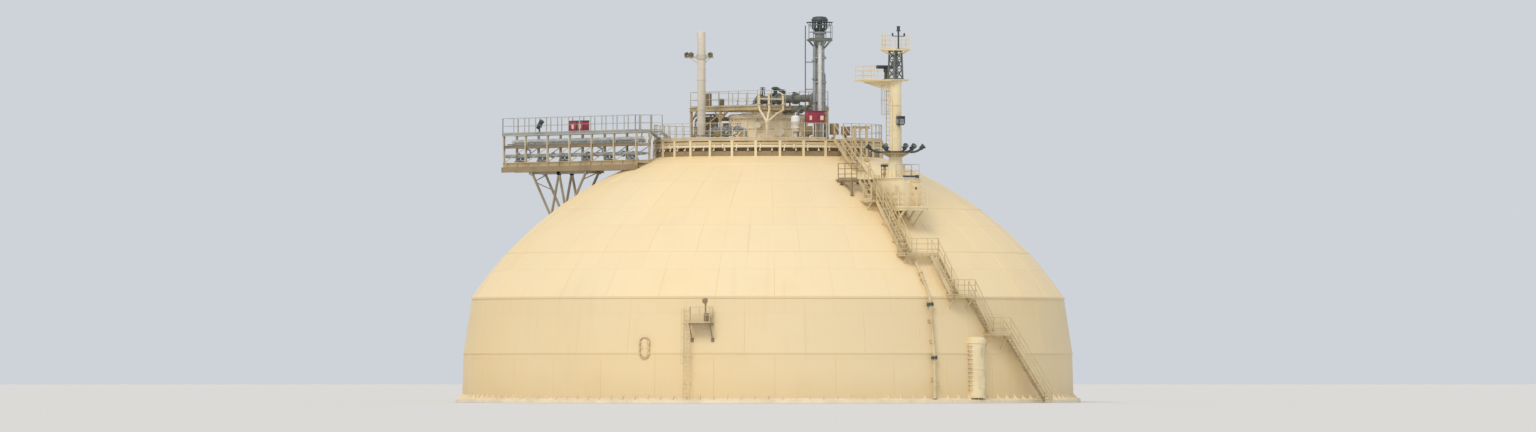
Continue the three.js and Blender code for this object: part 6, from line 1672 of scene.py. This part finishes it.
def makeMastClimb():
    v, x, top = climbValues, mastValues["x"], mastValues["top"]
    ladderX = x - mastValues["radius"] - v["off"]
    climb = ladder((ladderX, 0, v["foot"]), (ladderX, 0, top - 0.1), 180, (v["cageFoot"], top - 0.3))
    ties = [((ladderX, y, z), (x - 0.3, y, z), 0.05) for z in v["ties"] for y in (-0.2, 0.2)]
    draw("mast_climb", "railTan", "steel_tan", [*climb, Shape().many("bar", ties)], "mast_ladder")


for make in (makeMastHouse, makeMast, makeMastTop, makeMastClimb):
    make()
print("foremast ready")


# Stairs and landings down the front

stairValues = {"half": 0.4, "stringer": 0.26, "web": 0.035, "tread": 0.24, "rise": 0.24, "lift": 0.1,
               "rail": (1.25, 1.0, 2, 0.03, 0.026, 0.03), "kneed": ("ring_stair", "stair_flight_1"),
               "knees": (0.35, 0.75)}
flights = {
    "ring_stair": ((8.2, 0.3, 18.36), (11.4, 0.3, 15.5)),
    "shoulder_stair": ((13.72, -1.5, 15.42), (15.1, -1.5, 14.05)),
    "stair_flight_1": ((15.76, -1.45, 13.95), (18.8, -1.45, 10.25)),
    "stair_flight_2": ((19.66, 0.3, 10.17), (21.2, 0.9, 7.4)),
    "stair_flight_3": ((21.2, 2.34, 7.32), (21.2, 3.9, 4.8)),
    "stair_flight_4": ((21.2, 5.34, 4.72), (20.9, 9.1, 0.0)),
}
landings = {
    # place, size along X and Y, railed sides
    "shoulder_landing": ((15.15, -1.6, 14.05), (1.1, 1.3), ("starboard",)),
    "landing_1": ((19.05, -0.7, 10.25), (1.1, 2.9), ("starboard", "forward")),
    "landing_2": ((21.25, 1.35, 7.4), (1.0, 1.9), ("forward", "starboard")),
    "landing_3": ((21.3, 4.4, 4.8), (1.0, 1.8), ("forward",)),
}


def makeFlight(node, start, end):
    v = stairValues
    start, end = Vector(start), Vector(end)
    run = unit((end.x - start.x, end.y - start.y, 0))
    sides = [Vector((-run.y, run.x, 0)) * v["half"] * k for k in (1, -1)]
    grounded = end.z < 0.1
    up, lift = Vector((0, 0, 0.12)), Vector((0, 0, v["lift"]))
    s = Shape()
    for side in sides:
        low = end + side + (lift if grounded else Vector())
        s.bar(start + side, low, v["web"], v["stringer"]).bar(start + side + up, low + up, 0.07, 0.03)
        if grounded:
            s.block(0.24, 0.24, 0.03, (end + side).x, (end + side).y, 0.0)
    count = round((start.z - end.z) / v["rise"])
    step = (end - start) / count
    turn = math.degrees(math.atan2(run.y, run.x))
    first, nose, wide = start + step, start + step + run * 0.12, 2 * v["half"] - 0.04
    tread = Shape().block(v["tread"], wide, 0.03, first.x, first.y, first.z - 0.03, turn)
    tread.block(0.02, wide, 0.05, nose.x, nose.y, first.z - 0.05, turn)
    lines = [[start + side + lift, end + side + lift] for side in sides]
    parts = [s, lineRow(tread, count - 1, step), rails(lines, *v["rail"])]
    if node in v["kneed"]:
        knee = Shape()
        for p in [mixed(start, end, share) + side for share in v["knees"] for side in sides]:
            knee.bar(p, (p.x - 0.5, p.y, domeHeight(math.hypot(p.x - 0.5, p.y)) - 0.05), 0.06)
        parts.append(knee)
    draw(node + "_steps", "stairTan", "steel_tan", parts, node)


def inside(x, y, z):
    return math.hypot(x, y) < domeRadius(z) - 0.02


def reached(start, end):
    # the point of a straight line where it first meets the cover
    points = [mixed(start, end, k / 60) for k in range(61)]
    return next((p for p in points[:-1] if inside(*p)), points[-1])


landingValues = {"slatStep": 0.075, "rail": (0.9, 1.1, 3, 0.03, 0.024, 0.1)}


def makeLanding(node, spot, size, railed):
    v = landingValues
    x, y, z = spot
    halfX, halfY = size[0] / 2, size[1] / 2
    fore, low = x + halfX, z - 0.07
    s = Shape()
    s.many("channel", [((x + t, y - halfY, low), (x + t, y + halfY, low), 0.06, 0.13, 0.015)
                       for t in (0.03 - halfX, halfX - 0.03)])
    s.many("channel", [((x - halfX, y + t, low), (fore, y + t, low), 0.06, 0.13, 0.015)
                       for t in (0.03 - halfY, halfY - 0.03)])
    for side in (y - 0.8 * halfY, y + 0.8 * halfY):
        head = (fore - 0.1, side, z - 0.1)
        s.bar(head, reached(head, (fore - 0.1 - size[0] - 0.4, side, z - 1.5)), 0.08)
        s.bar((fore, side, low), reached((x - halfX, side, low), (x - halfX - 0.6, side, low)), 0.08, 0.1)
    slat = Shape().block(0.018, size[1] - 0.1, 0.04, x - halfX + 0.06, y, z - 0.042)
    outX, outY = halfX - 0.05, halfY - 0.05
    lines = {"starboard": [(x - outX, y - outY, z), (x + outX, y - outY, z)],
             "forward": [(x + outX, y - outY, z), (x + outX, y + outY, z)]}
    count = int((size[0] - 0.1) / v["slatStep"])
    draw(node + "_deck", "stairTan", "steel_tan",
         [s, lineRow(slat, count, (v["slatStep"], 0, 0)),
          rails([lines[side] for side in railed], *v["rail"])], node)


shoulderValues = {
    "aft": 11.6, "fore": 13.65, "low": -2.5, "high": 1.3, "deck": 15.5, "girderY": (-2.46, -0.6, 1.26),
    "beamX": (11.9, 12.6, 13.6), "postX": (12.3, 13.55), "postY": (-2.4, -1.0, 1.2), "strutY": (-2.4, 1.2),
    "gaps": (-2.0, 0.8), "slats": 18, "rail": (0.9, 1.1, 3, 0.032, 0.024, 0.1),
}


def makeShoulder():
    # platform between the ring stair and the foremast's house, with its rails and posts
    v = shoulderValues
    aft, fore, low, high, z = v["aft"], v["fore"], v["low"], v["high"], v["deck"]
    s = Shape()
    s.many("channel", [((aft + 0.1, y, z - 0.09), (fore, y, z - 0.09), 0.08, 0.16, 0.018)
                       for y in v["girderY"]])
    s.many("channel", [((x, low, z - 0.1), (x, high, z - 0.1), 0.08, 0.18, 0.018) for x in v["beamX"]])
    for x in v["postX"]:
        for y in v["postY"]:
            foot = domeHeight(math.hypot(x, y))
            if foot < z - 0.25:
                s.block(0.12, 0.12, z - 0.1 - foot, x, y, foot - 0.05)
                s.block(0.26, 0.26, 0.05, x, y, foot - 0.02)
    foot = domeHeight(13.6) + 0.2
    s.many("bar", [((fore - 0.1, y, foot), (12.4, y, z - 0.15), 0.06) for y in v["strutY"]])
    slat = Shape().block(0.02, high - low - 0.08, 0.045, aft + 0.12, (high + low) / 2, z - 0.046)
    lines = [[(aft + 0.4, side, z), (fore - 0.05, side, z), (fore - 0.05, gap, z)]
             for side, gap in zip((low + 0.05, high - 0.05), v["gaps"])]
    # the platform in the darker brown: partly painted shade under and around it
    draw("shoulder_deck", "chordBrown", "steel_tan",
         [s, lineRow(slat, v["slats"], (0.109, 0, 0)), rails(lines, *v["rail"])], "shoulder_platform")


for node, (start, end) in flights.items():
    makeFlight(node, start, end)
for node, values in landings.items():
    makeLanding(node, *values)
makeShoulder()
print("stairs ready")


# Fittings on the wall: side pipe, light platform, vent trunk

sidePipeValues = {
    "turn": -3.2, "off": 0.3, "radius": 0.1,
    "path": (9.9, 9.3, 8.6, 7.9, 7.36, 6.4, 5.4, 4.4, 3.5, 2.0, 0.7, 0.36),
    "flange": (9.0, 0.17), "darkFlanges": ((6.8, 0.24), (3.13, 0.22)),
    "clips": (8.4, 5.6, 4.2, 1.6), "valveZ": 1.3,
}


def makeSidePipe():
    v = sidePipeValues
    off = v["off"]
    s, dark = Shape(turn=v["turn"]), Shape(turn=v["turn"])
    path = [(domeRadius(z) + off, 0, z) for z in v["path"]]
    x = path[0][0]
    s.tube(path, v["radius"], 16).rod((x - 0.32, 0, 9.92), (x + 0.04, 0, 9.88), v["radius"], 16)
    for part, z, size in ((s, *v["flange"]), *[(dark, *row) for row in v["darkFlanges"]]):
        tilt = (domeRadius(z + 0.3) - domeRadius(z - 0.3), 0, 0.6)
        part.flange((domeRadius(z) + off, 0, z), tilt, size, 0.14, 8)
    draw("side_pipe_flanges", "darkSteel", "lamp_dark", [dark])
    for z in v["clips"]:
        x = domeRadius(z)
        s.bar((x - 0.05, 0, z), (x + off, 0, z), 0.08, 0.12).hoop(0.12, 0.145, z - 0.05, 0.1, 20, x + off)
        s.block(0.03, 0.3, 0.3, x + 0.005, 0, z - 0.15)
    x, z = domeRadius(0.5) + off, v["valveZ"]
    s.hoop(0.06, 0.2, 0.352, 0.05, 24, x).wheel((x, 0.32, z), (0, 1, 0), 0.16)
    s.rod((x, 0, z), (x, 0.32, z), 0.03, 8)
    draw("side_pipe_run", "stairTan", "steel_tan", [s], "side_pipe")


stageFitValues = {
    "azimuth": -47.2, "z": 5.5, "reach": 1.2, "half": 0.75, "slats": 15, "slatStep": 0.077, "kneeDrop": 1.2,
    "ladderY": -1.0, "ties": (1.4, 3.2, 5.4), "cageFoot": 2.7, "rail": (0.8, 1.1, 2, 0.03, 0.02, 0.08),
}


def makeLightStage():
    # small stage with a lamp, and the caged ladder beside it
    v = stageFitValues
    azimuth, z, half, ladderY = v["azimuth"], v["z"], v["half"], v["ladderY"]
    wall = domeRadius(z)
    outer, knee, kneeZ = wall + v["reach"], domeRadius(z - v["kneeDrop"]), z - v["kneeDrop"]
    p, slats, ties = Shape(turn=azimuth), Shape(turn=azimuth), Shape(turn=azimuth)
    for y in (0.03 - half, half - 0.03):
        p.channel((wall - 0.05, y, z - 0.07), (outer, y, z - 0.07), 0.06, 0.13, 0.015)
        p.bar((outer - 0.1, y, z - 0.12), (knee - 0.03, y, kneeZ), 0.07)
        p.block(0.03, 0.22, 0.3, knee + 0.005, y, kneeZ - 0.12)
    p.channel((outer - 0.03, -half, z - 0.07), (outer - 0.03, half, z - 0.07), 0.06, 0.13, 0.015)
    p.block(0.45, 0.34, 0.62, wall + 0.34, 0.35, z + 0.05).block(0.1, 0.1, 1.5, outer - 0.2, 0.4, z)
    p.rod((outer - 0.28, 0.4, z + 1.62), (outer + 0.02, 0.4, z + 1.5), 0.13, 16, 0.2)
    p.pin(0.04, z + 1.4, z + 1.6, 8, outer - 0.2, 0.4)
    slats.many("block", [(0.018, 2 * half - 0.08, 0.04, wall + 0.06 + v["slatStep"] * k, 0, z - 0.042)
                         for k in range(v["slats"])])
    for level in v["ties"]:
        r = domeRadius(level)
        ties.many("bar", [((r - 0.02, y, level), (r + 0.46, y, level), 0.04)
                          for y in (ladderY - 0.2, ladderY + 0.2)])
    turn = Matrix.Rotation(math.radians(azimuth), 4, "Z")
    side = half - 0.05
    line = [turn @ Vector((x, y, z)) for x, y in ((outer - 0.35, -side), (outer - 0.05, -side),
                                                  (outer - 0.05, side), (wall + 0.1, side))]
    foot = turn @ Vector((domeRadius(0) + 0.45, ladderY, 0.36))
    head = turn @ Vector((wall + 0.45, ladderY, z + 1.1))
    climb = ladder(foot, head, azimuth, (v["cageFoot"], z + 0.9))
    # the stage frame and lamp in the darker brown: partly painted shade under the stage
    draw("light_stage", "chordBrown", "steel_tan", [p, slats], "light_platform")
    draw("light_stage_rails", "stairTan", "steel_tan", [ties, rails([line], *v["rail"]), *climb])


trunkValues = {
    "turn": 7, "radius": 0.6, "louvres": 9, "bolts": 16, "rungs": 11, "rungStep": 0.3,
    "rungY": (-0.55, -0.72),
    "wall": ((0, 0.352), (0.68, 0.352), (0.68, 0.42), (0.6, 0.43), (0.6, 2.3), (0.63, 2.32),
             (0.63, 2.4), (0.6, 2.42),
             (0.6, 4.1), (0.66, 4.12), (0.66, 4.42), (0.58, 4.5), (0.2, 4.6), (0, 4.6)),
}


def makeTrunk():
    # vent trunk with louvres, a hatch, foot bolts and rungs up its side
    v = trunkValues
    x, r = cover["wallRadius"] - 0.05, v["radius"]
    t = Shape(turn=v["turn"]).turned(v["wall"], 48, x)
    t.many("block", [(0.05, 0.26, 0.03, x + r, 0, 3.2 + 0.08 * k) for k in range(v["louvres"])])
    t.block(0.04, 0.5, 0.8, x + r - 0.005, 0, 1.0).block(0.06, 0.03, 0.14, x + r + 0.02, 0.18, 1.3)
    for p in [around(r + 0.04, 360 / v["bolts"] * k) for k in range(v["bolts"])]:
        t.pin(0.025, 0.4, 0.46, 6, x + p.x, p.y)
    draw("vent_trunk_casing", "mastCream", "mast_cream", [t], "vent_trunk")
    step, (near, far), z = Shape(turn=v["turn"]), v["rungY"], 0.9
    step.many("tube", [([(spot, near, z), (spot, far, z)], 0.02, 6) for spot in (x - 0.04, x + 0.24)])
    step.rod((x - 0.06, far, z), (x + 0.26, far, z), 0.025, 6)
    draw("casing_rungs", "legGrey", "steel_tan", [lineRow(step, v["rungs"], (0, 0, v["rungStep"]))])


for make in (makeSidePipe, makeLightStage, makeTrunk):
    make()
print("wall fittings ready")
